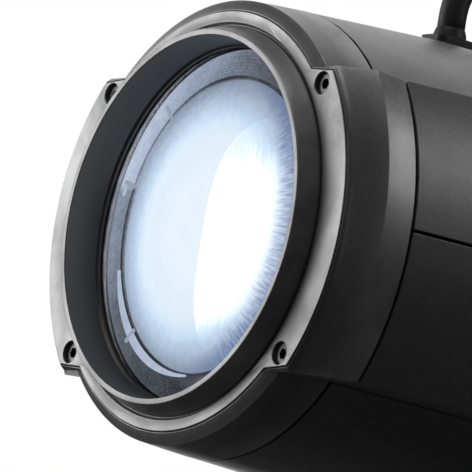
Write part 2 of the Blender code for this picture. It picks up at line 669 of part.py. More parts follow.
def build_rear(head):
    panel = prism(body_outline(COVER_ROUND_R, COVER_WING_R, COVER_WING_Z), HEAD_LENGTH - PANEL_T,
                  HEAD_LENGTH)
    y = (HEAD_LENGTH - PANEL_T - 0.001, HEAD_LENGTH + 0.001)
    tools = []
    for i in range(-5, 5):
        middle = (i + 0.5) * 0.010
        half = math.sqrt(FAN_OPEN_R ** 2 - middle ** 2)
        tools.append(block((-half, half), y, (middle - 0.003, middle + 0.003)))
    tools.append(block((SWITCH_X - 0.0100, SWITCH_X + 0.0100), y,
                       (-SOCKET_DROP - 0.0130, -SOCKET_DROP + 0.0130)))
    tools.append(block((INLET_X - 0.0140, INLET_X + 0.0140), y,
                       (-SOCKET_DROP - 0.0110, -SOCKET_DROP + 0.0110)))
    add("rear_panel", cut(panel, *tools), "dark_coat", head)

    face = HEAD_LENGTH + GAP
    flange = block((INLET_X - 0.025, INLET_X + 0.025), (face, face + 0.003),
                   (-SOCKET_DROP - 0.0145, -SOCKET_DROP + 0.0145))
    body = block((INLET_X - 0.0135, INLET_X + 0.0135), (face - 0.024, face + 0.001),
                 (-SOCKET_DROP - 0.0105, -SOCKET_DROP + 0.0105))
    recess = block((INLET_X - 0.0118, INLET_X + 0.0118), (face - 0.018, face + 0.004),
                   (-SOCKET_DROP - 0.0085, -SOCKET_DROP + 0.0085))
    add("power_inlet", cut(union(flange, body), recess), "black_plastic", head)

    rocker = prism([(-0.0040, -0.0080), (0.0040, -0.0105), (0.0015, 0.0), (0.0040, 0.0105),
                    (-0.0040, 0.0080)], SWITCH_X - 0.0085, SWITCH_X + 0.0085, "X")
    pivot = Vector((0, HEAD_LENGTH - 0.001, -SOCKET_DROP))
    rocker.transform(Matrix.Translation(pivot) @ Matrix.Rotation(math.radians(7), 4, "X"))
    add("power_switch", rocker, "black_plastic", head, (SWITCH_X, pivot.y, pivot.z))

    box = block((-0.058, 0.058), (face, face + 0.012), (PANEL_Z - 0.019, PANEL_Z + 0.019))
    screen = block((-0.050, 0.002), (face + 0.0105, face + 0.013), (PANEL_Z - 0.013, PANEL_Z + 0.013))
    keys = [block((x - 0.006, x + 0.006), (face + 0.011, face + 0.014), (z - 0.005, z + 0.005))
            for x in (0.018, 0.036) for z in (PANEL_Z - 0.008, PANEL_Z + 0.008)]
    add("control_panel", union(cut(box, screen), *keys), "black_plastic", head)

    post_x = COVER_WING_R * 0.80
    out = HEAD_LENGTH + 0.060
    route = rounded_path([(-post_x, face + 0.003, 0), (-post_x, out, 0), (post_x, out, 0),
                          (post_x, face + 0.003, 0)], 0.030, 4)
    grip = swept(route, 0.009, 10, (0, 0, 1))
    feet = [cylinder(0.017, face, face + 0.005, SMALL, "Y", (x, 0, 0)) for x in (-post_x, post_x)]
    add("rear_handle", union(grip, *feet), "black_plastic", head)


def build_top_handle(head):
    base_z = COVER_ROUND_R + GAP
    top_z = COVER_ROUND_R + 0.045
    start = FLARE_END_Y + 0.020
    end = start + 0.160
    route = rounded_path([(0, start, base_z + 0.003), (0, start, top_z), (0, end, top_z),
                          (0, end, base_z + 0.003)], 0.028, 4)
    grip = swept(route, 0.008, 10, (1, 0, 0))
    feet = [block((-0.010, 0.010), (y - 0.014, y + 0.014), (base_z, base_z + 0.005))
            for y in (start, end)]
    add("top_handle", union(grip, *feet), "black_plastic", head)


# ---------------------------------------------------------------- optics on the guide rods
ROD_START = BAFFLE_END_Y + GAP
ROD_END = MID_Y - GAP
TRAVEL = (ROD_END - ROD_START - 4 * CARRIAGE_HALF - 0.030) / 2
FOCUS = (ROD_START + 0.010 + CARRIAGE_HALF, FOCUS_LENS_R, "focus")
ZOOM = (ROD_END - 0.010 - CARRIAGE_HALF - TRAVEL, ZOOM_LENS_R, "zoom")


def build_carriages(head):
    for side, name in ((-1, "left"), (1, "right")):
        rod = cylinder(ROD_R, ROD_START, ROD_END, SMALL, "Y", (side * ROD_X, 0, ROD_Z))
        add("guide_rod_" + name, rod, "steel", head)
    for y, lens_r, name in (FOCUS, ZOOM):
        half = CARRIAGE_T / 2
        seat_y = y - half + 0.0026
        ring = turned([(lens_r - 0.003, y - half), (lens_r + 0.007, y - half),
                       (lens_r + 0.007, y + half), (lens_r + RUNNING, y + half),
                       (lens_r + RUNNING, seat_y), (lens_r - 0.003, seat_y)], MEDIUM)
        arms = []
        bores = []
        for side in (-1, 1):
            centre = (side * ROD_X, 0, ROD_Z)
            inner = Vector((side * ROD_X, ROD_Z)).normalized() * (lens_r + 0.002)
            arms.append(bar(inner, (side * ROD_X, ROD_Z), 0.010, (y - 0.004, y + 0.004)))
            arms.append(cylinder(0.0085, y - CARRIAGE_HALF, y + CARRIAGE_HALF, SMALL, "Y", centre))
            bores.append(cylinder(ROD_R + RUNNING, y - CARRIAGE_HALF - 0.001,
                                  y + CARRIAGE_HALF + 0.001, SMALL, "Y", centre))
        arm_end = COVER_WING_R - SHEET - 0.014
        arm_start = math.sqrt((lens_r + 0.0015) ** 2 - (KNOB_Z - 0.006) ** 2)
        arms.append(block((-arm_end, -arm_start), (y - 0.004, y + 0.004),
                          (KNOB_Z - 0.006, KNOB_Z + 0.006)))
        carriage = cut(union(ring, *arms), *bores)
        add(name + "_carriage", carriage, "aluminium", head, (0, y, 0))

        glass = [(0, y - half - 0.004), (lens_r * 0.50, y - half - 0.0025),
                 (lens_r * 0.80, y - half + 0.0012), (lens_r - 0.0034, y - half + 0.0035),
                 (lens_r, y - half + 0.0035), (lens_r, y + half - 0.001), (0, y + half - 0.001)]
        add(name + "_lens", turned(glass, MEDIUM), "glass", head, (0, y, 0))

        stem_start = -(arm_end + GAP)
        head_x = -(COVER_WING_R + 0.003)
        centre = (0, y, KNOB_Z)
        stem = cylinder(0.004, head_x - 0.002, stem_start, SMALL, "X", centre)
        grip = turned([(0, head_x), (0.012, head_x), (0.014, head_x - 0.002),
                       (0.014, head_x - 0.013), (0.012, head_x - 0.015), (0, head_x - 0.015)],
                      SMALL + 4, "X", centre)
        add(name + "_knob", union(grip, stem), "black_plastic", head, (0, y, 0))


# ---------------------------------------------------------------- gate, flag and colour frames
IRIS_Y = GATE_Y - 0.0155           # front face of the iris ring
FLAG_Y = GATE_Y + BULKHEAD_T + 0.006


def swing_stations():
    """Front faces of the dowser flag and of the colour frames behind it."""
    return [FLAG_Y + i * FRAME_PITCH for i in range(FRAME_COUNT + 1)]


def swing_piece(y, solid):
    """A flag or a colour frame hung from the control rod, with a lever above the top cover.

    It is drawn in the beam with its lever leaning to +X, then turned to its parked place.
    """
    faces = (y, y + FRAME_T)
    pivot = (0, 0, CONTROL_Z)
    lean = SWING / 2
    length = COVER_ROUND_R + LEVER_UP - CONTROL_Z
    tip = (length * math.sin(lean), CONTROL_Z + length * math.cos(lean))
    blade = cylinder(FRAME_R, faces[0], faces[1], MEDIUM)
    arm = bar((0, FRAME_R - 0.003), (0, CONTROL_Z), 0.012, faces)
    lever = bar((0, CONTROL_Z), tip, 0.007, faces)
    grip = cylinder(0.0065, faces[0], faces[1], SMALL, "Y", (tip[0], 0, tip[1]))
    boss = cylinder(0.010, faces[0], faces[1], SMALL, "Y", pivot)
    bore = cylinder(ROD_R + RUNNING, faces[0] - 0.001, faces[1] + 0.001, SMALL, "Y", pivot)
    mesh = union(blade, arm, boss, lever, grip)
    if not solid:
        web = 0.0008
        recess_r = FRAME_R - 0.005
        middle = (faces[0] + faces[1]) / 2
        front = cylinder(recess_r, faces[0] - 0.001, middle - web, MEDIUM)
        back = cylinder(recess_r, middle + web, faces[1] + 0.001, MEDIUM)
        mesh = cut(mesh, front, back)
    return moved(cut(mesh, bore), turn=-SWING, pivot=pivot)


def build_gate(head):
    rod = cylinder(ROD_R, GATE_Y + BULKHEAD_T + GAP, LAMP_Y - GAP, SMALL, "Y", (0, 0, CONTROL_Z))
    add("control_rod", rod, "steel", head)
    pivot = (0, 0, CONTROL_Z)
    stations = swing_stations()
    add("dowser_flag", swing_piece(stations[0], True), "black_coat", head, pivot)
    for number, y in enumerate(stations[1:], 1):
        add(f"color_frame_{number}", swing_piece(y, False), "aluminium", head, pivot)

    housing = tube(0.040, 0.056, GATE_Y - 0.0110, GATE_Y - GAP, MEDIUM)
    add("iris_housing", housing, "black_coat", head)
    y = (IRIS_Y, IRIS_Y + 0.003)
    reach = COVER_ROUND_R + LEVER_UP
    ring = union(cylinder(0.052, *y, MEDIUM), bar((0, 0.046), (0, reach), 0.008, y),
                 cylinder(0.0065, *y, SMALL, "Y", (0, 0, reach)))
    ring = cut(ring, cylinder(0.033, y[0] - 0.001, y[1] + 0.001, MEDIUM))
    add("iris_ring", moved(ring, turn=-IRIS_SWING / 2), "steel", head)


# ---------------------------------------------------------------- light engine and cooling
FAN_HALF = 0.060
FAN_T = 0.025
FAN_OPEN_R = 0.056
FAN_Y = HEAD_LENGTH - PANEL_T - GAP - FAN_T
LED_Y = LAMP_Y + 0.045 + GAP
SINK_Y = LED_Y + 0.012 + GAP
SINK_END = FAN_Y - 0.025
SINK_HALF = 0.070
SOCKET_DROP = COVER_ROUND_R * 0.72
INLET_X = -0.040
SWITCH_X = 0.034
PANEL_Z = COVER_ROUND_R * 0.655


def build_engine(head):
    y = LAMP_Y + 0.006
    lens = turned([(0, y), (0.030, y + 0.003), (0.0462, y + 0.010), (0.0462, y + 0.014),
                   (0, y + 0.014)], MEDIUM)
    add("condenser_lens", lens, "glass", head)

    board = block((-0.050, 0.050), (LED_Y + 0.002, LED_Y + 0.012), (-0.050, 0.050))
    chip = block((-0.020, 0.020), (LED_Y - 0.004, LED_Y + 0.003), (-0.020, 0.020))
    rim = tube(0.0475, 0.052, LED_Y, LED_Y + 0.003, MEDIUM)
    add("led_module", union(board, chip, rim), "led_board", head)

    sink = block((-SINK_HALF, SINK_HALF), (SINK_Y, SINK_END), (-SINK_HALF, SINK_HALF))
    fins = 11
    pitch = 2 * SINK_HALF / fins
    grooves = []
    for i in range(fins):
        x = -SINK_HALF + (i + 0.5) * pitch
        grooves.append(block((x - pitch * 0.36, x + pitch * 0.36), (SINK_Y + 0.010, SINK_END + 0.001),
                             (-SINK_HALF - 0.001, SINK_HALF + 0.001)))
    add("heat_sink", cut(sink, *grooves), "aluminium", head)

    low = -TRAY_Z + GAP
    supply = block((-0.050, 0.050), (SINK_Y + 0.020, SINK_END - 0.010), (low, -SINK_HALF - 0.006))
    shade = [block((side * 0.0475 - 0.006, side * 0.0475 + 0.006), (SINK_Y, SINK_END),
                   (low - 0.001, -TRAY_Z + 0.0125)) for side in (-1, 1)]
    add("power_supply", cut(supply, *shade), "aluminium", head)

    frame = block((-FAN_HALF, FAN_HALF), (FAN_Y, FAN_Y + FAN_T), (-FAN_HALF, FAN_HALF))
    frame = cut(frame, cylinder(FAN_OPEN_R, FAN_Y - 0.001, FAN_Y + FAN_T + 0.001, MEDIUM))
    hub_y = (FAN_Y + FAN_T - 0.004, FAN_Y + FAN_T)
    spokes = [bar((0, 0), (0.058 * math.cos(a), 0.058 * math.sin(a)), 0.006, hub_y)
              for a in (math.pi / 2, math.pi * 7 / 6, math.pi * 11 / 6)]
    add("fan_frame", union(frame, cylinder(0.020, *hub_y, SMALL + 4), *spokes), "black_plastic", head)

    rotor_y = (FAN_Y + 0.003, hub_y[0] - 0.001)
    middle = (rotor_y[0] + rotor_y[1]) / 2
    rotor = cylinder(0.019, *rotor_y, SMALL + 4)
    blades = []
    for i in range(7):
        blade = block((-0.0008, 0.0008), (-0.0105, 0.0105), (0.015, FAN_OPEN_R - 0.003))
        blade.transform(Matrix.Translation((0, middle, 0))
                        @ Matrix.Rotation(2 * math.pi * i / 7, 4, "Y")
                        @ Matrix.Rotation(math.radians(38), 4, "Z"))
        blades.append(blade)
    add("fan_rotor", union(rotor, *blades), "black_plastic", head, (0, middle, 0))


# ---------------------------------------------------------------- whole object
def main():
    for item in list(bpy.data.objects):
        bpy.data.objects.remove(item)
    pan = pivot_empty("pan_axis", (0, 0, 0))
    tilt = pivot_empty("tilt_axis", (0, 0, AXIS_HEIGHT), pan)
    head = pivot_empty("head_frame", (0, -TILT_Y, 0), tilt)
    build_base()
    build_yoke(pan)
    build_structure(head)
    build_front(head)
    build_front_shell(head)
    build_covers(head)
    build_rear(head)
    build_top_handle(head)
    build_carriages(head)
    build_gate(head)
    build_engine(head)


main()
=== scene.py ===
"""Looks of the follow spot: materials, fine pieces, studio light and camera around the CAD frame."""
import json
import math

import bmesh
import bpy
from mathutils import Matrix, Vector


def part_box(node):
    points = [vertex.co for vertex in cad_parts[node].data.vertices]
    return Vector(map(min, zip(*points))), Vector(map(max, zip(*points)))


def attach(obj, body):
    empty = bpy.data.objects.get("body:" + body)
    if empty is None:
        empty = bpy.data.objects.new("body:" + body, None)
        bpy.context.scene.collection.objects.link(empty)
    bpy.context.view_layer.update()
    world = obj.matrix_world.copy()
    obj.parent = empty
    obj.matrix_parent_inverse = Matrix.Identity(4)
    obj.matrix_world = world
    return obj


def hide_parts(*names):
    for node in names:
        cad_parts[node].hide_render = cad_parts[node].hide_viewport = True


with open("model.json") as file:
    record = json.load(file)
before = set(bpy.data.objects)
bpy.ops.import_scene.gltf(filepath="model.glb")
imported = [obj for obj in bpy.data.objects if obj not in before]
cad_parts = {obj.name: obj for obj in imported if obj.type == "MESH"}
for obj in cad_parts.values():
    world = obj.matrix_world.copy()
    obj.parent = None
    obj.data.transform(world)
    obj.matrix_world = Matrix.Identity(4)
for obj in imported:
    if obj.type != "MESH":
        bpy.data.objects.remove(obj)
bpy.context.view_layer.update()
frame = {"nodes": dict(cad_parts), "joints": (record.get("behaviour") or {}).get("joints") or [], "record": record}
NODES = frame["nodes"]
JOINTS = {joint["name"]: joint for joint in frame["joints"]}


# ---------------------------------------------------------------- places, from the frame
def low(node):
    return Vector(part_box(node)[0])


def high(node):
    return Vector(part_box(node)[1])


def centre(node):
    return (low(node) + high(node)) / 2


HOOD_LIP = 0.0022
HOOD_OUT = 0.0116
SEAT_GAP = 0.0003

AXIS_Z = JOINTS["tilt"]["pos_m"][2]
LENS_R = high("lens_gasket").x
RIM_R = LENS_R + HOOD_LIP
HOOD_TIP = low("front_bezel").y
FACE_Y = HOOD_TIP + HOOD_OUT
BEZEL_BACK = low("front_bulkhead").y - SEAT_GAP
GASKET_Y = low("lens_gasket").y
SHELL_END = high("front_shell").y


# ---------------------------------------------------------------- node materials
WHITE = (1.0, 1.0, 1.0)
BLACK = (0.0, 0.0, 0.0)
# Near-black colour painted as shade on the hood's inner wall.
HOOD_PAINTED_SHADE = (0.088, 0.082, 0.074)
SATIN = {"tone": (0.26, 0.26, 0.262), "metallic": 0.75, "roughness": 0.40, "grain": 1500.0}


class Nodes:
    """Short names for the shader nodes that the materials below are made of."""

    def __init__(self, name):
        self.material = bpy.data.materials.new(name)
        self.material.use_nodes = True
        self.tree = self.material.node_tree
        self.shader = self.tree.nodes["Principled BSDF"]
        self.coord = self.tree.nodes.new("ShaderNodeTexCoord").outputs["Object"]

    def new(self, kind, **settings):
        node = self.tree.nodes.new(kind)
        for key, value in settings.items():
            setattr(node, key, value)
        return node

    def link(self, source, target):
        self.tree.links.new(source, target)

    def fill(self, socket, value):
        """Give a socket a constant (a number or a colour) or another node's output."""
        if isinstance(value, tuple):
            socket.default_value = (*value, 1.0)
        elif isinstance(value, (int, float)):
            socket.default_value = value
        else:
            self.link(value, socket)

    def noise(self, scale, detail=3.0, roughness=0.5, vector=None):
        node = self.new("ShaderNodeTexNoise")
        node.inputs["Scale"].default_value = scale
        node.inputs["Detail"].default_value = detail
        node.inputs["Roughness"].default_value = roughness
        self.link(vector or self.coord, node.inputs["Vector"])
        return node.outputs["Fac"]

    def math(self, operation, a, b=0.0):
        node = self.new("ShaderNodeMath", operation=operation)
        for socket, value in zip(node.inputs, (a, b)):
            self.fill(socket, value)
        return node.outputs[0]

    def ramp(self, factor, stops):
        """Colour ramp through (position, colour) stops."""
        node = self.new("ShaderNodeValToRGB")
        points = node.color_ramp.elements
        while len(points) < len(stops):
            points.new(0.5)
        for point, (position, colour) in zip(points, stops):
            point.position = position
            point.color = (*colour, 1.0)
        self.link(factor, node.inputs["Fac"])
        return node.outputs["Color"]

    def spread(self, value, low_in, high_in, low_out, high_out):
        node = self.new("ShaderNodeMapRange", clamp=True)
        for index, number in ((1, low_in), (2, high_in), (3, low_out), (4, high_out)):
            node.inputs[index].default_value = number
        self.link(value, node.inputs[0])
        return node.outputs[0]

    def mix(self, factor, a, b):
        node = self.new("ShaderNodeMix", data_type="RGBA")
        sockets = (node.inputs["Factor"], node.inputs[6], node.inputs[7])
        for socket, value in zip(sockets, (factor, a, b)):
            self.fill(socket, value)
        return node.outputs[2]

    def bump(self, height, distance, strength):
        node = self.new("ShaderNodeBump")
        node.inputs["Distance"].default_value = distance
        node.inputs["Strength"].default_value = strength
        self.link(height, node.inputs["Height"])
        return node.outputs["Normal"]

    def axis(self, letter):
        """One of the object's own coordinates."""
        axes = self.new("ShaderNodeSeparateXYZ")
        self.link(self.coord, axes.inputs[0])
        return axes.outputs[letter]

    def distance(self, x=0.0, z=0.0):
        """Distance from a line along the optical axis through (x, z)."""
        mapping = self.new("ShaderNodeMapping")
        mapping.inputs["Location"].default_value = (-x, 0.0, -z)
        mapping.inputs["Scale"].default_value = (1.0, 0.0, 1.0)
        self.link(self.coord, mapping.inputs["Vector"])
        length = self.new("ShaderNodeVectorMath", operation="LENGTH")
        self.link(mapping.outputs["Vector"], length.inputs[0])
        return length.outputs["Value"]

    def polar(self, x, z, per_turn, per_radius):
        """Coordinates that run round and outward from a line along the optical axis."""
        across = self.math("SUBTRACT", self.axis("X"), x)
        above = self.math("SUBTRACT", self.axis("Z"), z)
        turn = self.math("ARCTAN2", above, across)
        joined = self.new("ShaderNodeCombineXYZ")
        self.link(self.math("MULTIPLY", turn, per_turn), joined.inputs[0])
        self.link(self.math("MULTIPLY", self.distance(x, z), per_radius), joined.inputs[1])
        return joined.outputs[0]

    def glowing(self, colour, strength, cover=1.0):
        """Plain emission; where cover is below 1 what lies behind shows through."""
        glow = self.new("ShaderNodeEmission")
        glow.inputs["Strength"].default_value = strength
        self.link(colour, glow.inputs["Color"])
        clear = self.new("ShaderNodeBsdfTransparent")
        mix = self.new("ShaderNodeMixShader")
        self.fill(mix.inputs["Fac"], cover)
        self.link(clear.outputs[0], mix.inputs[1])
        self.link(glow.outputs[0], mix.inputs[2])
        self.link(mix.outputs[0], self.tree.nodes["Material Output"].inputs["Surface"])
        self.tree.nodes.remove(self.shader)
        return self.material

    def set(self, **values):
        for key, value in values.items():
            self.fill(self.shader.inputs[key.replace("_", " ")], value)
        return self.material


def powder_coat(name, tone, metallic, roughness, grain, edge_glint, shade_within=0.0):
    """Satin powder coat: pebbled surface, faint cloudiness, and a painted highlight that brightens sharp edges a
    little.

    Inside a given radius of the object's own Y axis the coat is darkened to a near-black painted shade.
    """
    n = Nodes(name)
    cloud = n.noise(22.0, 4.0, 0.6)
    fine = n.noise(750.0, 2.0, 0.7)
    shade = n.math("MULTIPLY", n.spread(cloud, 0.3, 0.7, 0.95, 1.04),
                   n.spread(fine, 0.35, 0.65, 0.82, 1.10))
    body = n.mix(shade, BLACK, tone)
    edge = n.new("ShaderNodeNewGeometry").outputs["Pointiness"]
    # Painted highlight: sharp edges, found by pointiness, are brightened in patches toward a lighter tone.
    edge_highlight = n.math("MULTIPLY", n.spread(edge, 0.508, 0.54, 0.0, edge_glint),
                    n.spread(cloud, 0.35, 0.65, 0.2, 1.0))
    light = tuple(min(1.0, c * 2.2 + 0.05) for c in tone)
    pebble = n.noise(grain, 3.0, 0.55)
    colour = n.mix(edge_highlight, body, light)
    # Painted shade: inside the radius the coat is darkened, for the hood's inner wall.
    if shade_within:
        inside = n.spread(n.distance(), shade_within, shade_within + 0.0002, 1.0, 0.0)
        colour = n.mix(inside, colour, HOOD_PAINTED_SHADE)
    blotch = n.noise(60.0, 4.0, 0.6)
    return n.set(Base_Color=colour, Metallic=metallic,
                 Roughness=n.spread(blotch, 0.3, 0.7, roughness - 0.02, roughness + 0.03),
                 Normal=n.bump(pebble, 0.00010, 0.5))


def bare_metal(name, tone, roughness, stretch):
    """Machined metal with fine marks drawn out along the axes where stretch is small."""
    n = Nodes(name)
    mapping = n.new("ShaderNodeMapping")
    mapping.inputs["Scale"].default_value = stretch
    n.link(n.coord, mapping.inputs["Vector"])
    lines = n.noise(260.0, 4.0, 0.65, mapping.outputs["Vector"])
    cloud = n.noise(35.0, 4.0, 0.6)
    dark = tuple(c * 0.78 for c in tone)
    return n.set(Base_Color=n.mix(n.spread(cloud, 0.3, 0.7, 0.0, 1.0), dark, tone), Metallic=1.0,
                 Roughness=n.spread(lines, 0.3, 0.7, roughness - 0.08, roughness + 0.12),
                 Normal=n.bump(lines, 0.00003, 0.5))


def plastic(name, tone, roughness, grain=1400.0, depth=0.00005):
    n = Nodes(name)
    cloud = n.noise(30.0, 4.0, 0.6)
    bright = tuple(c * 1.5 + 0.004 for c in tone)
    polish = n.noise(90.0, 5.0, 0.6)
    return n.set(Base_Color=n.mix(n.spread(cloud, 0.35, 0.7, 0.0, 1.0), tone, bright),
                 Roughness=n.spread(polish, 0.3, 0.7, roughness - 0.07, roughness + 0.08),
                 Normal=n.bump(n.noise(grain, 2.0, 0.5), depth, 0.5))


def clear_glass(name):
    """Coated optical glass with a trace of dust."""
    n = Nodes(name)
    dust = n.noise(120.0, 6.0, 0.7)
    return n.set(Base_Color=WHITE, Roughness=n.spread(dust, 0.55, 0.8, 0.01, 0.09), IOR=1.45,
                 Transmission_Weight=1.0, Coat_Weight=0.3)


LOOK = {
    "grey_coat": powder_coat("cover_powder_coat", **SATIN, edge_glint=0.0),
    "dark_coat": powder_coat("body_powder_coat", **SATIN, edge_glint=0.0),
    "black_coat": powder_coat("black_powder_coat", (0.035, 0.035, 0.038), 0.3, 0.45, 1100.0, 0.0),
    "steel": bare_metal("machined_steel", (0.50, 0.50, 0.51), 0.30, (1.0, 12.0, 1.0)),
    "aluminium": bare_metal("plain_aluminium", (0.68, 0.68, 0.70), 0.36, (1.0, 1.0, 9.0)),
    "black_plastic": plastic("moulded_black_plastic", (0.022, 0.022, 0.024), 0.48),
    "rubber": plastic("black_rubber", (0.015, 0.015, 0.015), 0.75, 500.0, 0.0001),
    "glass": clear_glass("optical_glass"),
    "led_board": plastic("emitter_board", (0.75, 0.75, 0.55), 0.4),
}


# ---------------------------------------------------------------- shapes, as bmeshes in the head's frame
HEAD_ORIGIN = Vector((0.0, FACE_Y, AXIS_Z))
SHARP_ANGLE = math.radians(34)
BEVEL_SEGMENTS = 2
NORMAL_WEIGHT = 60


def arc(radius, start, end, steps, centre=(0.0, 0.0)):
    turn = (end - start) / steps
    angles = [start + turn * i for i in range(steps + 1)]
    return [(centre[0] + radius * math.cos(a), centre[1] + radius * math.sin(a)) for a in angles]


def body_outline(round_r, wing_r, wing_z, inner_z=None):
    """Round top and bottom with concentric side wings that end in level faces at +-wing_z."""
    wing_steps = 40
    round_steps = 84
    wing = math.asin(wing_z / wing_r)
    top = math.asin((inner_z or wing_z) / round_r)
    points = arc(wing_r, -wing, wing, wing_steps)
    points += arc(round_r, top, math.pi - top, round_steps)
    points += arc(wing_r, math.pi - wing, math.pi + wing, wing_steps)
    points += arc(round_r, math.pi + top, 2 * math.pi - top, round_steps)
    return points


def along_y(outline, y):
    return [(x, y, z) for x, z in outline]


def loft(sections, ring=False):
    """Skin sections of equal point count; ring joins the last to the first, else ends are capped."""
    mesh = bmesh.new()
    rows = [[mesh.verts.new(p) for p in section] for section in sections]
    pairs = list(zip(rows, rows[1:]))
    if ring:
        pairs.append((rows[-1], rows[0]))
    count = len(rows[0])
    for a, b in pairs:
        for i in range(count):
            j = (i + 1) % count
            mesh.faces.new((a[i], a[j], b[j], b[i]))
    if not ring:
        mesh.faces.new(rows[0])
        mesh.faces.new(rows[-1])
    bmesh.ops.recalc_face_normals(mesh, faces=mesh.faces[:])
    return mesh


AXIS_TURN = {
    "X": Matrix.Rotation(-math.pi / 2, 4, "Z"),
    "Y": Matrix.Identity(4),
    "Z": Matrix.Rotation(math.pi / 2, 4, "X"),
}


def turned(profile, sides=160, axis="Y", centre=(0, 0, 0)):
    """Solid of revolution from (radius, along) points; end points at radius 0 close on the axis."""
    mesh = bmesh.new()
    rows = []
    for radius, along in profile:
        if radius == 0:
            rows.append([mesh.verts.new((0, along, 0))])
            continue
        angles = [2 * math.pi * i / sides for i in range(sides)]
        rows.append([mesh.verts.new((radius * math.cos(a), along, radius * math.sin(a)))
                     for a in angles])
    pairs = list(zip(rows, rows[1:]))
    if len(rows[0]) > 1:
        pairs.append((rows[-1], rows[0]))
    for a, b in pairs:
        for i in range(sides):
            j = (i + 1) % sides
            corners = [a[i % len(a)], a[j % len(a)], b[j % len(b)], b[i % len(b)]]
            mesh.faces.new(list(dict.fromkeys(corners)))
    mesh.transform(Matrix.Translation(centre) @ AXIS_TURN[axis])
    bmesh.ops.recalc_face_normals(mesh, faces=mesh.faces[:])
    return mesh


def cylinder(radius, start, end, sides=48, axis="Y", centre=(0, 0, 0)):
    return turned([(0, start), (radius, start), (radius, end), (0, end)], sides, axis, centre)


def carve(base, tools, operation="DIFFERENCE"):
    """Cut closed shapes out of base, or join them to it."""
    items = []
    for mesh in [base] + tools:
        data = bpy.data.meshes.new("shape")
        mesh.to_mesh(data)
        mesh.free()
        item = bpy.data.objects.new("shape", data)
        bpy.context.collection.objects.link(item)
        items.append(item)
    for item in items[1:]:
        step = items[0].modifiers.new("step", "BOOLEAN")
        step.operation = operation
        step.solver = "EXACT"
        step.object = item
    graph = bpy.context.evaluated_depsgraph_get()
    baked = bpy.data.meshes.new_from_object(items[0].evaluated_get(graph))
    mesh = bmesh.new()
    mesh.from_mesh(baked)
    bpy.data.meshes.remove(baked)
    for item in items:
        data = item.data
        bpy.data.objects.remove(item)
        bpy.data.meshes.remove(data)
    return mesh


def soften(mesh, width):
    """Round every sharp edge."""
    bmesh.ops.remove_doubles(mesh, verts=mesh.verts[:], dist=0.000005)
    sharp = [edge for edge in mesh.edges
             if edge.is_manifold and edge.calc_face_angle(0.0) > SHARP_ANGLE]
    bmesh.ops.bevel(mesh, geom=sharp, offset=width, offset_type="OFFSET",
                    segments=BEVEL_SEGMENTS, profile=0.6, affect="EDGES", clamp_overlap=True)


def piece(name, mesh, material, body, *nodes, origin=HEAD_ORIGIN, bevel=0.0, weighted=True):
    """Store a shape as an object that rides on body and stands in for nodes."""
    if bevel:
        soften(mesh, bevel)
    data = bpy.data.meshes.new(name)
    mesh.to_mesh(data)
    mesh.free()
    data.shade_smooth()
    data.materials.append(material)
    item = bpy.data.objects.new(name, data)
    item.location = origin
    bpy.context.collection.objects.link(item)
    if weighted:
        item.modifiers.new("normals", "WEIGHTED_NORMAL").weight = NORMAL_WEIGHT
    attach(item, body)
    if nodes:
        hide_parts(*nodes)


# ---------------------------------------------------------------- CAD nodes that keep their shape
def dress(node, material):
    """Give a CAD node its material, and soft edges from modifiers."""
    item = NODES[node]
    for slot in item.material_slots:
        slot.material = material
    for polygon in item.data.polygons:
        polygon.use_smooth = True
    weld = item.modifiers.new("weld", "WELD")
    weld.merge_threshold = 0.00001
    edges = item.modifiers.new("edges", "BEVEL")
    edges.width = 0.0005
    edges.segments = BEVEL_SEGMENTS
    edges.limit_method = "ANGLE"
    edges.angle_limit = SHARP_ANGLE
    item.modifiers.new("normals", "WEIGHTED_NORMAL").weight = NORMAL_WEIGHT


for part in frame["record"]["subparts"]:
    dress(part["node"], LOOK[part["material_slot"]])


# ---------------------------------------------------------------- front end
BEZEL_ROUND_R = RIM_R * 1.121
BEZEL_WING_R = RIM_R * 1.250
LUG_Z = RIM_R * 0.768
LUG_INNER_Z = RIM_R * 0.782
BEZEL_T = BEZEL_BACK - FACE_Y
HOOD_WALL = 0.0034
HOOD_BASE_R = RIM_R * 1.04
CLEAR_R = LENS_R - 0.0030
SEAT_Y = GASKET_Y - SEAT_GAP - FACE_Y
COUNTERBORE_R = 0.0062
COUNTERBORE_DEEP = 0.0070
SCREW_R = 0.0057
SCREW_TOP = 0.0025
SCREW_END = 0.0067
SOCKET_R = 0.0031
SOCKET_DEEP = 0.0030
PAST = 0.001
FINE_SIDES = 200

SCREWS = []
for corner in (1, 2, 3, 4):
    at = centre(f"bezel_screw_{corner}")
    SCREWS.append((at.x, at.z - AXIS_Z))


def bezel_outline(inset):
    return body_outline(BEZEL_ROUND_R - inset, BEZEL_WING_R - inset, LUG_Z - inset,
                        LUG_INNER_Z - inset)


def build_bezel():
    """Lobed plate with its hood ring, a groove round the hood's foot, and four counterbores."""
    plate = loft([along_y(bezel_outline(0.0), 0.0), along_y(bezel_outline(0.0), BEZEL_T)])
    ring_r = HOOD_BASE_R + 0.0030
    plate = carve(plate, [cylinder(ring_r, -PAST, BEZEL_T + PAST, FINE_SIDES)])
    groove = 0.0022
    inner_r = RIM_R - HOOD_WALL
    hood = turned([
        (inner_r, -HOOD_OUT), (RIM_R, -HOOD_OUT), (HOOD_BASE_R, -0.0004), (HOOD_BASE_R, groove),
        (HOOD_BASE_R + 0.0014, groove), (ring_r - 0.0010, 0.0), (ring_r + 0.0001, 0.0),
        (ring_r + 0.0001, BEZEL_T), (LENS_R, BEZEL_T), (LENS_R, SEAT_Y),
        (CLEAR_R, SEAT_Y), (CLEAR_R, SEAT_Y - 0.0020), (CLEAR_R + 0.0012, SEAT_Y - 0.0030),
    ], FINE_SIDES)
    ring = carve(plate, [hood], "UNION")
    holes = [cylinder(COUNTERBORE_R, -PAST, COUNTERBORE_DEEP, 40, "Y", (x, 0, z))
             for x, z in SCREWS]
    ring = carve(ring, holes)
    piece("bezel", ring, BEZEL_COAT, "head", "front_bezel", bevel=0.0006)


